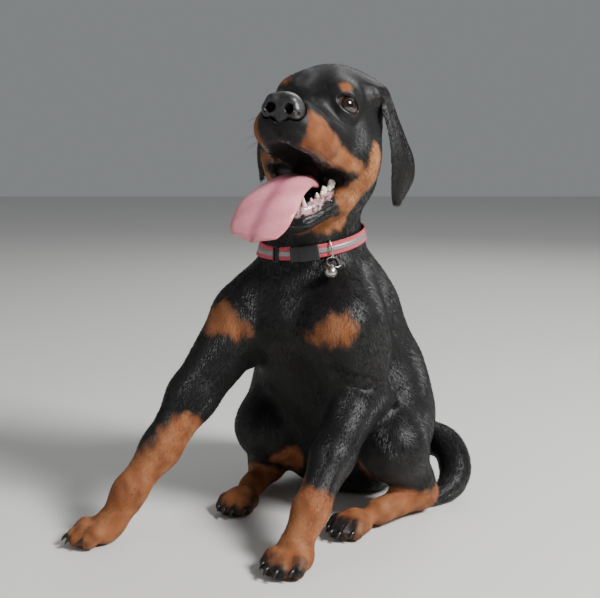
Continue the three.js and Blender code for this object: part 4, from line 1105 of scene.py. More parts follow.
def leather_material():
    """Bare nose leather: its pebbles break a soft wet shine into small lights, and painted shade
    darkens the grooves between them.
    """
    material, tree, shader = new_material("nose_leather_pebbled_moist")
    place = add_node(tree, "ShaderNodeTexCoord").outputs["Object"]
    pebbles = add_node(tree, "ShaderNodeTexVoronoi", {"Vector": place, "Scale": cells(1.053)},
                       feature="SMOOTH_F1")
    pores = add_node(tree, "ShaderNodeTexNoise",
                     {"Vector": place, "Scale": cells(0.385), "Detail": 2})
    height = add_node(tree, "ShaderNodeMath",
                      {0: pebbles.outputs["Distance"], 1: 0.8, 2: pores.outputs["Fac"]},
                      operation="MULTIPLY_ADD")
    bump = add_node(tree, "ShaderNodeBump",
                    {"Height": height.outputs["Value"], "Strength": 0.7, "Distance": 0.0005},
                    invert=True)
    # Painted shade: the leather is darker in the grooves between the pebbles than on their tops.
    tone = add_node(tree, "ShaderNodeMix", {"Factor": pebbles.outputs["Distance"], "A": "#1b191a",
                                            "B": "#080708"}, data_type="RGBA")
    tree.links.new(tone.outputs["Result"], shader.inputs["Base Color"])
    tree.links.new(bump.outputs["Normal"], shader.inputs["Normal"])
    shader.inputs["Roughness"].default_value = 0.38
    shader.inputs["Coat Weight"].default_value = 0.35
    shader.inputs["Coat Roughness"].default_value = 0.25
    return material


nose_mesh = bpy.data.meshes.new("nose_leather")
redrawn([swollen("nose", FLESH_SWELL_MM)], NOSE_SQUARE_MM).to_mesh(nose_mesh)
smooth_and_lay(nose_mesh, lay_on_nose, ((2, 3), (2, 2), (1, 1)))
nose_mesh.materials.append(leather_material())
add_piece(nose_mesh, "nose", "nose")


# The tongue: a wet pink strap of muscle that rises from the floor of the mouth, spreads over the
# lower lip and droops. A furrow runs down its middle, and the edge of the tip is redder. Painted
# shade turns the furrow and the root in the mouth purple.
TONGUE = [(12, 0, -42, 9, 4), (30, 0, -45, 12, 4.5), (50, -2, -48, 15.5, 4.5), (67, -5, -57, 20, 4),
          (80, -7, -70, 23, 3.6), (87.5, -9, -84, 23, 3.2), (91, -11, -95.5, 18.5, 2.8),
          (91.5, -12, -101, 10, 2)]


def swept(name, row, around, along, outline):
    """A ball drawn out along a smooth row of places. outline gives across and up for each turn."""
    ball = bmesh.new()
    bmesh.ops.create_uvsphere(ball, u_segments=around, v_segments=along, radius=1)
    line = np.array(smooth_row(row, 24))
    ways = unit(np.gradient(line[:, :3], axis=0))
    for v in ball.verts:
        polar = math.acos(max(-1, min(1, v.co.z)))
        place = polar / math.pi * (len(line) - 1)
        n = min(int(place), len(line) - 2)
        here = line[n] + (line[n + 1] - line[n]) * (place - n)
        turn = math.atan2(v.co.y, v.co.x)
        v.co = Vector(outline(here, ways[n], turn, polar))
    bmesh.ops.recalc_face_normals(ball, faces=ball.faces)
    mesh = bpy.data.meshes.new(name)
    ball.to_mesh(mesh)
    return mesh


def tongue_outline(here, way, turn, polar):
    """Across the tongue, thick in the middle and thin at its edge, with furrow and raised sides."""
    end = min(1, math.sin(polar) * 2.6) ** 0.7
    up = np.cross(way, (0, 1, 0)) * -1
    c, s = math.cos(turn), math.sin(turn)
    thick = here[4] * math.copysign(abs(s) ** 0.85, s) * end
    tip = max(0, polar / math.pi - 0.55) / 0.45
    furrow = (2.3 if s > 0 else -0.8) * math.exp(-(c / 0.24) ** 2) * end * (1 - 0.8 * tip)
    bowl = (3.0 - 2.2 * tip) * c * c
    wave = 0.5 * math.sin(5 * c + 9 * polar) * end
    lobe = -way * 2.4 * math.exp(-(c / 0.5) ** 2) * tip ** 3
    q = here[:3] + np.array([0, 1,
                             0]) * c * here[3] * end + up * (thick - furrow + bowl + wave) + lobe
    return to_frame(head_to_body(q))


def tongue_material():
    """Wet mucosa over muscle: soft pink light from within, a thin film of spit, and buds that
    roughen the shine. They are drawn about twice the real size, or they wouldn't show. Painted
    shade darkens the furrow and the root to purple."""
    material, tree, shader = new_material("tongue_wet_mucosa")
    place = add_node(tree, "ShaderNodeTexCoord").outputs["Object"]
    tone = add_node(tree, "ShaderNodeVertexColor", layer_name="tone").outputs["Color"]
    split = add_node(tree, "ShaderNodeSeparateColor", {"Color": tone})
    mottle = add_node(tree, "ShaderNodeTexNoise",
                      {"Vector": place, "Scale": cells(3.85), "Detail": 4})
    pink = add_node(tree, "ShaderNodeMix", {"Factor": mottle.outputs["Fac"], "A": "#cc7682",
                                            "B": "#dd939b"}, data_type="RGBA")
    # Painted shade: the furrow and the root of the tongue are darkened to purple.
    furrow_and_root_painted_shade = add_node(tree, "ShaderNodeMix",
                    {"Factor": split.outputs["Red"], "A": pink.outputs["Result"], "B": "#8f4a60"},
                    data_type="RGBA")
    edge = add_node(tree, "ShaderNodeMix",
                    {"Factor": split.outputs["Green"], "A": furrow_and_root_painted_shade.outputs["Result"], "B": "#c9545f"},
                    data_type="RGBA")
    buds = add_node(tree, "ShaderNodeTexVoronoi", {"Vector": place, "Scale": cells(0.714)})
    folds = add_node(tree, "ShaderNodeTexNoise",
                     {"Vector": place, "Scale": cells(2.86), "Detail": 3})
    height = add_node(tree, "ShaderNodeMath",
                      {0: folds.outputs["Fac"], 1: 1.2, 2: buds.outputs["Distance"]},
                      operation="MULTIPLY_ADD")
    bump = add_node(tree, "ShaderNodeBump",
                    {"Height": height.outputs["Value"], "Strength": 0.4, "Distance": 0.0005})
    tree.links.new(edge.outputs["Result"], shader.inputs["Base Color"])
    tree.links.new(bump.outputs["Normal"], shader.inputs["Normal"])
    shader.inputs["Roughness"].default_value = 0.36
    shader.inputs["Subsurface Weight"].default_value = 0.15
    shader.inputs["Subsurface Scale"].default_value = 0.003
    shader.inputs["Coat Weight"].default_value = 0.4
    shader.inputs["Coat Roughness"].default_value = 0.15
    return material


tongue_mesh = swept("tongue_flesh", TONGUE, 96, 120, tongue_outline)
tongue_places = body_to_head(from_frame(coordinates(tongue_mesh)))
middle_line = np.array(smooth_row(TONGUE, 24))
nearest = np.abs(tongue_places[:, None] - middle_line[:, :3]) @ np.array([1, 0.2, 1])
nearest = nearest.argmin(axis=1)
aside = np.abs(tongue_places[:, 1] - middle_line[nearest, 1]) / middle_line[nearest, 3]
far_out = nearest / len(middle_line)
tone = np.ones((len(tongue_places), 4))
# Red: painted shade along the middle furrow and at the root in the mouth. Green: the redder edge of
# the tip.
tone[:, 0] = np.exp(-(aside / 0.2) ** 2) * 0.65 + np.clip(0.35 - far_out, 0, 1)
tone[:, 1] = np.clip((aside - 0.72) / 0.28, 0,
                     1) * 0.5 * far_out + np.clip(far_out - 0.88, 0, 1) * 5
paint(tongue_mesh, "tone", tone)
tongue_mesh.materials.append(tongue_material())
add_piece(tongue_mesh, "tongue", "tongue")


# The lower gum and milk teeth: small sharp white pegs, thin curved canines and three-pointed cheek
# teeth, rooted in a wet gum that is mottled pink and slate grey.
GUM_LINE = [(20, 21.5, -30, 4.4), (44, 17.6, -29.4, 5.2), (61, 13, -28.4, 5.2),
            (71, 4.6, -27.5, 4.8), (71, -4.6, -27.5, 4.8), (61, -13, -28.4, 5.2),
            (44, -17.6, -29.4, 5.2), (20, -21.5, -30, 4.4)]
TEETH = [(72, 1.6, 1.2, 3.4, 0), (71.5, 4.4, 1.3, 3.4, 0), (70, 7.1, 1.4, 3.8, 0),
         (65.4, 10.8, 2.1, 8.8, 2.2), (57, 13, 1.6, 3.0, 0), (49.5, 15, 2.1, 4.0, 0),
         (40.5, 17, 2.6, 5.2, 0), (30, 19.4, 3.1, 6.0, 0)]
TOOTH_BASE = -25


def round_outline(turned):
    """Across a round tapered piece: its radius at each place, closed at both ends."""
    def outline(here, way, turn, polar):
        aside = unit(np.cross(way, (0.3, 0.2, 1))[None])[0]
        up = np.cross(aside, way)
        reach = here[3] * min(1, math.sin(polar) * 2.4)
        return turned(here[:3] + (aside * math.cos(turn) + up * math.sin(turn)) * reach)
    return outline


def in_jaw(place):
    return to_frame(head_to_body(opened(place)))


def joined(name, meshes):
    whole = bmesh.new()
    for mesh in meshes:
        whole.from_mesh(mesh)
    together = bpy.data.meshes.new(name)
    whole.to_mesh(together)
    return together


def make_tooth(f, l, radius, height, lean):
    cusps = [(0, 1, 1)] if radius < 2.25 else [(0, 1, 1), (-1.35, 0.8, 0.55), (1.35, 0.75, 0.5)]
    for step, wide, high in cusps:
        at = f + step * radius
        row = [(at, l, TOOTH_BASE - 2, radius * wide),
               (at + lean * 0.2, l, TOOTH_BASE + 1, radius * wide * 0.95),
               (at + lean * 0.6, l, TOOTH_BASE + 1 + height * high * 0.55, radius * wide * 0.6),
               (at + lean * 0.4, l, TOOTH_BASE + 1 + height * high, 0.25)]
        yield swept("tooth", row, 10, 10, round_outline(in_jaw))


def enamel_material():
    """Thin new enamel: smooth, wet and white, a little creamy in patches."""
    material, tree, shader = new_material("milk_tooth_enamel")
    place = add_node(tree, "ShaderNodeTexCoord").outputs["Object"]
    stain = add_node(tree, "ShaderNodeTexNoise",
                     {"Vector": place, "Scale": cells(4.55), "Detail": 3})
    tone = add_node(tree, "ShaderNodeMix", {"Factor": stain.outputs["Fac"], "A": "#f3eee2",
                                            "B": "#dcd2bb"}, data_type="RGBA")
    tree.links.new(tone.outputs["Result"], shader.inputs["Base Color"])
    shader.inputs["Roughness"].default_value = 0.22
    shader.inputs["Coat Weight"].default_value = 0.5
    shader.inputs["Coat Roughness"].default_value = 0.08
    return material


def gum_material():
    """Wet gum with dark pigment in patches, which glistens over a finely stippled surface."""
    material, tree, shader = new_material("gum_mottled_wet_mucosa")
    place = add_node(tree, "ShaderNodeTexCoord").outputs["Object"]
    mottle = add_node(tree, "ShaderNodeTexNoise",
                      {"Vector": place, "Scale": cells(4.17), "Detail": 5, "Distortion": 0.6})
    spots = add_node(tree, "ShaderNodeMapRange",
                     {"Value": mottle.outputs["Fac"], "From Min": 0.42, "From Max": 0.62})
    tone = add_node(tree, "ShaderNodeMix", {"Factor": spots.outputs["Result"], "A": "#c08e92",
                                            "B": "#4b3f44"}, data_type="RGBA")
    rough = add_node(tree, "ShaderNodeTexNoise",
                     {"Vector": place, "Scale": cells(1.43), "Detail": 3})
    bump = add_node(tree, "ShaderNodeBump",
                    {"Height": rough.outputs["Fac"], "Strength": 0.5, "Distance": 0.0005})
    tree.links.new(tone.outputs["Result"], shader.inputs["Base Color"])
    tree.links.new(bump.outputs["Normal"], shader.inputs["Normal"])
    shader.inputs["Roughness"].default_value = 0.25
    shader.inputs["Coat Weight"].default_value = 0.6
    shader.inputs["Coat Roughness"].default_value = 0.1
    return material


gum_mesh = swept("gum", GUM_LINE, 28, 150, round_outline(in_jaw))
gum_places = from_frame(coordinates(gum_mesh))
gum_mesh.vertices.foreach_set("co", to_frame(gum_places + unit(gum_places - gum_places.mean(axis=0))
                                             * grain(gum_places, 1.2)[:, None] * 0.2).ravel())
gum_mesh.materials.append(gum_material())
add_piece(gum_mesh, "tongue", "teeth_lower")
teeth_mesh = joined("milk_teeth", [cusp for f, l, *sizes in TEETH for side in (1, -1)
                                   for cusp in make_tooth(f, l * side, *sizes)])
teeth_mesh.materials.append(enamel_material())
add_piece(teeth_mesh, "tooth")


# Claws: curved black horn, one at the end of each toe and a dewclaw inside each foreleg above the
# wrist. Whiskers: stiff black bristles in rows on the muzzle.
DEWCLAWS = [((56.5, -108, 52), (-0.35, -0.5, -0.85)), ((-98, -149, 52), (0.6, -0.45, -0.8))]
CLAW_RISE = [(0.2, 1.2, 2.2), (0.7, 1.6, 2.0), (1.05, -0.4, 1.3), (1.28, -3.6, 0.35)]
WHISKER_ROWS = [((80, 15, -12), (62, 20, -14), 6), ((82, 15, -17), (60, 21, -20), 7),
                ((80, 15, -22), (62, 20, -25), 5)]
WHISKER_MM = (9, 22)
WHISKER_RADIUS_MM = 0.11


def claws_of(foot):
    for toe in foot_toes(foot):
        row = [(*(toe["tip"] + toe["ahead"] * toe["radius"] * reach + (0, 0, rise + 0.3)), thick)
               for reach, rise, thick in CLAW_RISE]
        yield swept("claw", row, 12, 14, round_outline(to_frame))


def dewclaw(root, way):
    root, way = np.array(root, float), np.array(way, float)
    row = [(*root, 2.2), (*(root + way * 4 - (0, 1, 0)), 1.7), (*(root + way * 8), 0.4)]
    return swept("claw", row, 12, 12, round_outline(to_frame))


def horn_material():
    """Black horn with faint layers across it, worn to a dull polish."""
    material, tree, shader = new_material("claw_horn_grown_in_layers")
    place = add_node(tree, "ShaderNodeTexCoord").outputs["Object"]
    layers = add_node(tree, "ShaderNodeTexNoise",
                      {"Vector": place, "Scale": cells(1.11), "Detail": 3})
    tone = add_node(tree, "ShaderNodeMix", {"Factor": layers.outputs["Fac"], "A": "#0d0c0c",
                                            "B": "#2b2622"}, data_type="RGBA")
    bump = add_node(tree, "ShaderNodeBump",
                    {"Height": layers.outputs["Fac"], "Strength": 0.25, "Distance": 0.0003})
    tree.links.new(tone.outputs["Result"], shader.inputs["Base Color"])
    tree.links.new(bump.outputs["Normal"], shader.inputs["Normal"])
    shader.inputs["Roughness"].default_value = 0.32
    return material


claw_mesh = joined("claws", [claw for foot in FEET.values() for claw in claws_of(foot)]
                   + [dewclaw(*place) for place in DEWCLAWS])
claw_mesh.materials.append(horn_material())
add_piece(claw_mesh, "nose")


def whisker(root, way, length):
    """A bristle that bends back and down towards its tip."""
    row = [(*(root - way * 1.5), WHISKER_RADIUS_MM),
           (*(root + way * length * 0.4), WHISKER_RADIUS_MM * 0.9),
           (*(root + way * length * 0.75 - (0, 0, length * 0.05)), WHISKER_RADIUS_MM * 0.6),
           (*(root + way * length - (0, 0, length * 0.15)), WHISKER_RADIUS_MM * 0.2)]
    return swept("whisker", row, 4, 9, round_outline(to_frame))


def whiskers():
    chance = np.random.default_rng(5)
    for side in ((1, 1, 1), (1, -1, 1)):
        for start, end, count in WHISKER_ROWS:
            for n in range(count):
                q = np.array(start) + np.subtract(end,
                                                  start) * n / (count - 1) + chance.normal(0, 0.6,
                                                                                           3)
                root = settle(head_to_body(q * side)[None], whole_form, 4)[0]
                way = unit((np.array([-0.5, 0.8, -0.25]) + chance.normal(0, 0.12, 3))[None]
                           * side @ head_axes)[0]
                yield whisker(root, way, chance.uniform(*WHISKER_MM))


whisker_mesh = joined("whiskers", list(whiskers()))
whisker_mesh.materials.append(horn_material())
add_piece(whisker_mesh, "coat_black")


# The collar: a strap of red nylon webbing with ribbed edges, a silver-grey reflective tape along
# its middle, a black slider that takes the folded end, and a black side-release buckle at the
# throat. Each piece is built flat, in degrees round the neck, rise and lift in mm, then laid on.
STRAP_LIFT, STRAP_THICK, STRAP_WIDE = 0.9, 2.2, 12.0
TAPE_WIDE, TAPE_THICK = 5.0, 0.3
RIB_PITCH_MM = 1.5
RIB_SWELL_MM = 0.22
WAVE_PERIOD = 2 * math.pi / 20
NECK_GIRTH_MM = 330.0
BUCKLE_TURN, SLIDER_TURN = 20.0, -12.0
OVER_STRAP = STRAP_LIFT + STRAP_THICK + 0.4
collar_right = unit(np.cross([0, 1, 0], COLLAR_RISE)[None])[0]
collar_back = np.cross(COLLAR_RISE, collar_right)


def neck_skin(p):
    return melt(12, trunk(p), neck(p))


def on_neck(places):
    """Degrees from the throat, rise along the neck and lift off its skin, as places in mm."""
    turn, rise, lift = np.asarray(places, float).T
    turn = np.radians(turn)
    way = np.sin(turn)[:, None] * collar_right - np.cos(turn)[:, None] * collar_back
    start = COLLAR_MIDDLE + rise[:, None] * COLLAR_RISE
    low, high = np.full(len(turn), 15.0), np.full(len(turn), 110.0)
    for _ in range(24):
        half = (low + high) / 2
        inside = neck_skin(start + way * half[:, None]) < 0
        low, high = np.where(inside, half, low), np.where(inside, high, half)
    return start + way * (low + lift)[:, None]


def lay_round_neck(name, flat):
    """Ends a flat piece: bends it round the neck and closes what meets."""
    places = on_neck([v.co for v in flat.verts])
    for v, place in zip(flat.verts, to_frame(places)):
        v.co = Vector(place)
    bmesh.ops.remove_doubles(flat, verts=flat.verts, dist=1e-6)
    bmesh.ops.recalc_face_normals(flat, faces=flat.faces)
    mesh = bpy.data.meshes.new(name)
    flat.to_mesh(mesh)
    return mesh


def flat_strip(turn_from, turn_to, wide, lift, thick, steps, across, ribbed=False):
    """A flat band: a grid given thickness, whose ribs swell at the woven edges."""
    strip = bmesh.new()
    bmesh.ops.create_grid(strip, x_segments=steps, y_segments=across, size=0.5)
    for v in strip.verts:
        v.co.z = 0
    shell = bmesh.ops.extrude_face_region(strip, geom=strip.faces[:])
    top = {v for v in shell["geom"] if isinstance(v, bmesh.types.BMVert)}
    for v in strip.verts:
        share, edge = v.co.x + 0.5, v.co.y * 2
        turn = turn_from + (turn_to - turn_from) * share
        round_off = 0.75 if abs(edge) > 0.99 else 1.0
        ribs = 0.0
        if ribbed:
            along = turn / 360 * NECK_GIRTH_MM
            at_edge = min(1, max(0, (abs(edge) - 0.42) * 6))
            ribs = RIB_SWELL_MM * math.sin(2 * math.pi * along / RIB_PITCH_MM) * at_edge
        middle = lift + thick / 2
        half = thick / 2 * round_off + (ribs if v in top else 0)
        rise = edge * wide / 2 + ribs * 0.5 * edge
        v.co = (turn, rise, middle + (half if v in top else -half))
    return strip


def bands(spacing_mm):
    """The scale that sets a wave's bands this far apart, on places in mm."""
    return WAVE_PERIOD / spacing_mm


def webbing_material():
    """Woven nylon: slanting threads about half a millimetre apart, dull but with a little fuzz at
    their edges, and slightly grubby in patches. Painted shade darkens the hollows between the
    raised threads, which are painted lighter."""
    material, tree, shader = new_material("nylon_webbing_woven_red")
    thread = add_node(tree, "ShaderNodeUVMap", uv_map="thread").outputs["UV"]
    weave = add_node(tree, "ShaderNodeTexWave",
                     {"Vector": thread, "Scale": bands(0.571), "Distortion": 0.6, "Detail": 1},
                     bands_direction="DIAGONAL")
    rows = add_node(tree, "ShaderNodeTexWave", {"Vector": thread, "Scale": bands(0.2856)},
                    bands_direction="Y")
    dirt = add_node(tree, "ShaderNodeTexNoise", {"Vector": thread, "Scale": 0.4, "Detail": 4})
    height = add_node(tree, "ShaderNodeMath", {0: weave.outputs["Fac"], 1: rows.outputs["Fac"]},
                      operation="ADD")
    # Painted light and shade: the raised threads are lighter and the hollows between them darker.
    tone = add_node(tree, "ShaderNodeMix", {"Factor": weave.outputs["Fac"], "A": "#a81f38",
                                            "B": "#e8505f"}, data_type="RGBA")
    worn = add_node(tree, "ShaderNodeMapRange",
                    {"Value": dirt.outputs["Fac"], "To Min": 0.8, "To Max": 1.1})
    colour = add_node(tree, "ShaderNodeVectorMath",
                      {0: tone.outputs["Result"], "Scale": worn.outputs["Result"]},
                      operation="SCALE")
    bump = add_node(tree, "ShaderNodeBump",
                    {"Height": height.outputs["Value"], "Strength": 0.5, "Distance": 0.0003})
    tree.links.new(colour.outputs["Vector"], shader.inputs["Base Color"])
    tree.links.new(bump.outputs["Normal"], shader.inputs["Normal"])
    shader.inputs["Roughness"].default_value = 0.55
    shader.inputs["Sheen Weight"].default_value = 0.3
    return material


def tape_material():
    """Grey tape with glass beads in it, which sends back a flat, silvery light. Beads are drawn
    several times the real size, or they wouldn't show."""
    material, tree, shader = new_material("reflective_tape_glass_beads")
    thread = add_node(tree, "ShaderNodeUVMap", uv_map="thread").outputs["UV"]
    beads = add_node(tree, "ShaderNodeTexVoronoi", {"Vector": thread, "Scale": 3.2})
    ribs = add_node(tree, "ShaderNodeTexWave", {"Vector": thread, "Scale": bands(1.428)},
                    bands_direction="X")
    tone = add_node(tree, "ShaderNodeMix", {"Factor": ribs.outputs["Fac"], "A": "#6f6c6b",
                                            "B": "#a39f9d"}, data_type="RGBA")
    bump = add_node(tree, "ShaderNodeBump", {"Height": beads.outputs["Distance"], "Strength": 0.25,
                                             "Distance": 0.0002})
    tree.links.new(tone.outputs["Result"], shader.inputs["Base Color"])
    tree.links.new(bump.outputs["Normal"], shader.inputs["Normal"])
    shader.inputs["Roughness"].default_value = 0.35
    shader.inputs["Metallic"].default_value = 0.35
    return material


def plastic_material():
    """Black acetal from a spark-eroded mould: an even fine grain, rubbed shiny in places."""
    material, tree, shader = new_material("acetal_moulded_black")
    place = add_node(tree, "ShaderNodeTexCoord").outputs["Object"]
    grain_fine = add_node(tree, "ShaderNodeTexNoise",
                          {"Vector": place, "Scale": cells(0.286), "Detail": 2})
    rubbed = add_node(tree, "ShaderNodeTexNoise",
                      {"Vector": place, "Scale": cells(5.56), "Detail": 4})
    rough = add_node(tree, "ShaderNodeMapRange",
                     {"Value": rubbed.outputs["Fac"], "To Min": 0.32, "To Max": 0.55})
    tone = add_node(tree, "ShaderNodeMix", {"Factor": rubbed.outputs["Fac"], "A": "#0e0e0f",
                                            "B": "#1c1c1e"}, data_type="RGBA")
    bump = add_node(tree, "ShaderNodeBump", {"Height": grain_fine.outputs["Fac"], "Strength": 0.3,
                                             "Distance": 0.0002})
    tree.links.new(tone.outputs["Result"], shader.inputs["Base Color"])
    tree.links.new(rough.outputs["Result"], shader.inputs["Roughness"])
    tree.links.new(bump.outputs["Normal"], shader.inputs["Normal"])
    return material


def threads_from(mesh, flat_places):
    """Keeps each corner's place along and across the band, in mm, as the webbing's own map."""
    layer = mesh.uv_layers.new(name="thread")
    for loop in mesh.loops:
        turn, rise = flat_places[loop.vertex_index][:2]
        layer.data[loop.index].uv = (turn / 360 * NECK_GIRTH_MM, rise)


def lay_band(name, *sizes, ribbed=False):
    """A band laid round the neck, with its own map of the threads."""
    flat = flat_strip(*sizes, ribbed=ribbed)
    places = [tuple(v.co) for v in flat.verts]
    mesh = lay_round_neck(name, flat)
    if len(mesh.vertices) == len(places):
        threads_from(mesh, places)
    return mesh


webbing = webbing_material()
strap = lay_band("collar_webbing", BUCKLE_TURN, BUCKLE_TURN + 359.9, STRAP_WIDE, STRAP_LIFT,
                 STRAP_THICK - 0.3, 1100, 10, ribbed=True)
strap.materials.append(webbing)
add_piece(strap, "webbing", "collar_strap")
folded_end = lay_band("collar_folded_end", SLIDER_TURN - 12, BUCKLE_TURN - 14, STRAP_WIDE - 0.4,
                      OVER_STRAP - 0.7, 1.2, 90, 10, ribbed=True)
folded_end.materials.append(webbing)
add_piece(folded_end, "webbing")
tape = lay_band("collar_tape", BUCKLE_TURN + 14, 360 + SLIDER_TURN - 12, TAPE_WIDE,
                STRAP_LIFT + STRAP_THICK - 0.35, TAPE_THICK, 400, 3)
tape.materials.append(tape_material())
add_piece(tape, "webbing")
end_tape = lay_band("collar_end_tape", SLIDER_TURN - 11.8, BUCKLE_TURN - 14, TAPE_WIDE,
                    OVER_STRAP + 0.45, TAPE_THICK, 60, 3)
end_tape.materials.append(tape.materials[0])
add_piece(end_tape, "webbing")


def flat_block(turn, rise, lift, size, bevel=0.5):
    """A rounded plastic block in flat collar sizes: degrees for its length, mm across and out."""
    block = bmesh.new()
    bmesh.ops.create_cube(block, size=1)
    mm_per_degree = NECK_GIRTH_MM / 360
    bmesh.ops.scale(block, vec=size, verts=block.verts)
    bmesh.ops.bevel(block, geom=block.edges[:], offset=bevel, segments=3, profile=0.5, material=-1,
                    affect="EDGES")
    long_edges = [e for e in block.edges if abs(e.verts[0].co.x - e.verts[1].co.x) > size[0] * 0.6]
    bmesh.ops.subdivide_edges(block, edges=long_edges, cuts=10, use_grid_fill=True)
    for v in block.verts:
        v.co = (turn + v.co.x / mm_per_degree, rise + v.co.y, lift + v.co.z)
    return block


def moulding(name, blocks):
    """Blocks that snap or are moulded together, laid round the neck as one piece."""
    whole = bmesh.new()
    for block in blocks:
        part = bpy.data.meshes.new(name)
        block.to_mesh(part)
        whole.from_mesh(part)
    return lay_round_neck(name, whole)


acetal = plastic_material()
buckle = moulding("collar_buckle_shells", [
    flat_block(BUCKLE_TURN + 4.6, 0, OVER_STRAP + 2.2, (18, 14.6, 4.2), 1.2),
    flat_block(BUCKLE_TURN - 8.6, 0, OVER_STRAP + 2.0, (8.6, 13.8, 3.6), 1.0),
    flat_block(BUCKLE_TURN - 3.6, 6.2, OVER_STRAP + 2.0, (8, 2.2, 2.6), 0.6),
    flat_block(BUCKLE_TURN - 3.6, -6.2, OVER_STRAP + 2.0, (8, 2.2, 2.6), 0.6),
    flat_block(BUCKLE_TURN - 3.6, 0, OVER_STRAP + 1.8, (8, 3.4, 2.2), 0.6),
    flat_block(BUCKLE_TURN - 12.6, 0, OVER_STRAP + 2.6, (2, 14.4, 3.6), 0.8)])
buckle.materials.append(acetal)
add_piece(buckle, "buckle", "collar_buckle")
slider = moulding("collar_slider_frame", [
    flat_block(SLIDER_TURN - 2.5, 0, OVER_STRAP + 1.2, (1.5, 15.2, 2.2), 0.5),
    flat_block(SLIDER_TURN + 2.5, 0, OVER_STRAP + 1.2, (1.5, 15.2, 2.2), 0.5),
    flat_block(SLIDER_TURN, 0, OVER_STRAP + 0.9, (1.4, 14.8, 1.8), 0.5),
    flat_block(SLIDER_TURN, 6.95, OVER_STRAP + 1.2, (6, 1.3, 2.2), 0.5),
    flat_block(SLIDER_TURN, -6.95, OVER_STRAP + 1.2, (6, 1.3, 2.2), 0.5)])
slider.materials.append(acetal)
add_piece(slider, "buckle", "collar_slider")


# Ring and bell: a bent steel wire loop round the strap, a split ring of two turns of flat wire in
# it, and a small nickel-plated crotal bell, a hollow ball with a slot and a pellet inside.
SPLIT_TURNS = 2
SPLIT_WIRE_MM = 0.62
LOOP_WIRE_MM = 0.8
BELL_RADIUS_MM, BELL_WALL_MM, PELLET_RADIUS_MM = 5.9, 0.4, 1.5
BELL_PACKED_RADIUS_MM = 6.0
BELL_EYE_RADIUS_MM, BELL_EYE_WIRE_MM = 2.5, 0.6
SEAM_BAND_MM, SEAM_SWELL = 0.35, 0.06


def lying_flat(name):
    """Middle and three axes of a packed ring in mm, its long way first and its own axis last."""
    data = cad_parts[name].data
    places = from_frame(coordinates(data))
    middle = (places.max(axis=0) + places.min(axis=0)) / 2
    ways = np.linalg.svd(places - places.mean(axis=0), full_matrices=False)[2]
    spans = np.ptp((places - middle) @ ways.T, axis=0) / 2
    return places.mean(axis=0), ways, spans


def coil(name, middle, first, second, axis, wide, high, wire, turns, pitch, along):
    """Round wire bent along an ellipse, once or in a close coil."""
    wires = bmesh.new()
    bmesh.ops.create_uvsphere(wires, u_segments=12, v_segments=along, radius=1)
    for v in wires.verts:
        polar = math.acos(max(-1, min(1, v.co.z)))
        angle = 2 * math.pi * turns * polar / math.pi
        out = first * math.cos(angle) + second * math.sin(angle)
        spot = middle + first * math.cos(angle) * wide + second * math.sin(angle) * high
        spot = spot + axis * pitch * (polar / math.pi - 0.5) * turns
        turn = math.atan2(v.co.y, v.co.x)
        reach = wire * min(1, math.sin(polar) * 30)
        v.co = Vector(to_frame(spot + (out * math.cos(turn) + axis * math.sin(turn)) * reach))
    bmesh.ops.recalc_face_normals(wires, faces=wires.faces)
    mesh = bpy.data.meshes.new(name)
    wires.to_mesh(mesh)
    return mesh


def steel_material(name, tint):
    """Bright metal with the fine wear of rubbing, so that its mirror is uneven."""
    material, tree, shader = new_material(name)
    place = add_node(tree, "ShaderNodeTexCoord").outputs["Object"]
    wear = add_node(tree, "ShaderNodeTexNoise",
                    {"Vector": place, "Scale": cells(2.38), "Detail": 5})
    rough = add_node(tree, "ShaderNodeMapRange",
                     {"Value": wear.outputs["Fac"], "To Min": 0.16, "To Max": 0.42})
    tone = add_node(tree, "ShaderNodeMix", {"Factor": wear.outputs["Fac"], "A": tint,
                                            "B": "#8d8c88"}, data_type="RGBA")
    scratches = add_node(tree, "ShaderNodeBump", {"Height": wear.outputs["Fac"], "Strength": 0.12,
                                                  "Distance": 0.0002})
    tree.links.new(tone.outputs["Result"], shader.inputs["Base Color"])
    tree.links.new(rough.outputs["Result"], shader.inputs["Roughness"])
    tree.links.new(scratches.outputs["Normal"], shader.inputs["Normal"])
    shader.inputs["Metallic"].default_value = 1.0
    return material


steel = steel_material("steel_wire_bright_drawn", "#d6d6d4")
middle, (first, second, axis), (high, low, _) = lying_flat("collar_loop")
wire_loop = coil("collar_wire_loop", middle, first, second, axis, high - LOOP_WIRE_MM,
                 low - LOOP_WIRE_MM, LOOP_WIRE_MM, 1.0, 0, 96)
wire_loop.materials.append(steel)
add_piece(wire_loop, "steel", "collar_loop")
middle, (first, second, axis), (high, low, _) = lying_flat("split_ring")
ring = coil("split_ring_coil", middle, first, second, axis, high - SPLIT_WIRE_MM,
            low - SPLIT_WIRE_MM, SPLIT_WIRE_MM, SPLIT_TURNS - 0.08, SPLIT_WIRE_MM * 1.1, 160)
ring.materials.append(steel)
add_piece(ring, "steel", "split_ring")

bell_middle = from_frame(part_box("bell")[0]) + BELL_PACKED_RADIUS_MM
ring_middle = middle
to_ring = unit((ring_middle - bell_middle)[None])[0]
bell_side = unit(np.cross(to_ring, axis)[None])[0]
bell_front = np.cross(bell_side, to_ring)


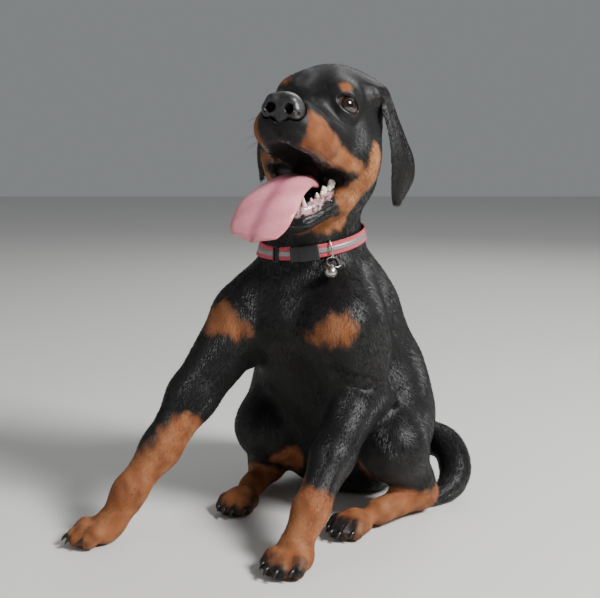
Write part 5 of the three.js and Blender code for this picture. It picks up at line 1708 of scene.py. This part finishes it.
def bell_shell():
    """A thin ball with a rolled seam, a slot cut in its underside, and the pellet inside."""
    ball = bmesh.new()
    bmesh.ops.create_uvsphere(ball, u_segments=72, v_segments=48, radius=BELL_RADIUS_MM)
    slot = []
    for face in ball.faces:
        x, y, z = face.calc_center_median().normalized()
        in_slot = abs(x) < 0.075 and z < -0.25
        at_end = math.hypot(x, z + 0.3) < 0.17
        if in_slot or at_end:
            slot.append(face)
    bmesh.ops.delete(ball, geom=slot, context="FACES")
    for v in ball.verts:
        if abs(v.co.z) < SEAM_BAND_MM:
            v.co *= 1 + SEAM_SWELL * (1 - abs(v.co.z) / SEAM_BAND_MM)
    bmesh.ops.recalc_face_normals(ball, faces=ball.faces)
    bmesh.ops.solidify(ball, geom=ball.faces[:], thickness=BELL_WALL_MM)
    pellet = bmesh.ops.create_uvsphere(ball, u_segments=16, v_segments=12, radius=PELLET_RADIUS_MM)
    bmesh.ops.translate(ball, vec=(0.8, 0.4, -3.2), verts=pellet["verts"])
    for v in ball.verts:
        v.co = Vector(to_frame(bell_middle + bell_front * v.co.x + bell_side * v.co.y + to_ring
                               * v.co.z))
    bmesh.ops.recalc_face_normals(ball, faces=ball.faces)
    mesh = bpy.data.meshes.new("bell_ball")
    ball.to_mesh(mesh)
    return mesh


eye_middle = bell_middle + to_ring * (BELL_RADIUS_MM + 2.2)
bell_eye = coil("bell_eye", eye_middle, to_ring, bell_front, bell_side, BELL_EYE_RADIUS_MM,
                BELL_EYE_RADIUS_MM, BELL_EYE_WIRE_MM, 1.0, 0, 48)
bell_mesh = joined("crotal_bell", [bell_shell(), bell_eye])
bell_mesh.materials.append(steel_material("brass_nickel_plated_worn", "#c9c4b6"))
add_piece(bell_mesh, "steel", "bell")


# A studio: a plain pale floor, a soft lamp to the right of the camera in place of the low sun, a
# wide weak one on the left so that the shaded side can be read, and a little light all round.
LAMPS = {"key_lamp": ((1.75, -0.1, 1.5), 95, 0.6), "fill_lamp": ((-1.4, -1.8, 1.0), 9, 2.0),
         "rim_lamp": ((-0.4, 2.0, 1.6), 12, 1.2)}
LAMPS_LOOK_AT = Vector((0, 0, 0.24))

floor_mesh = bpy.data.meshes.new("floor")
floor_net = bmesh.new()
bmesh.ops.create_grid(floor_net, x_segments=1, y_segments=1, size=6)
bmesh.ops.rotate(floor_net, verts=floor_net.verts, matrix=Matrix.Rotation(CAMERA_TURN, 3, "Z"))
floor_net.to_mesh(floor_mesh)
material, tree, shader = new_material("floor_painted_matt")
shader.inputs["Base Color"].default_value = hex_colour("#d9d8d4")
shader.inputs["Roughness"].default_value = 0.8
floor_mesh.materials.append(material)
floor = bpy.data.objects.new("floor", floor_mesh)
bpy.context.scene.collection.objects.link(floor)

for name, (place, watts, width) in LAMPS.items():
    lamp = bpy.data.lights.new(name, "AREA")
    lamp.energy = watts
    lamp.size = width
    stand = bpy.data.objects.new(name, lamp)
    stand.location = place
    stand.rotation_euler = (Vector(place) - LAMPS_LOOK_AT).to_track_quat("Z", "Y").to_euler()
    bpy.context.scene.collection.objects.link(stand)

world = bpy.data.worlds.new("studio")
world.use_nodes = True
world.node_tree.nodes["Background"].inputs["Color"].default_value = hex_colour("#dfe3e6")
world.node_tree.nodes["Background"].inputs["Strength"].default_value = 0.3
bpy.context.scene.world = world
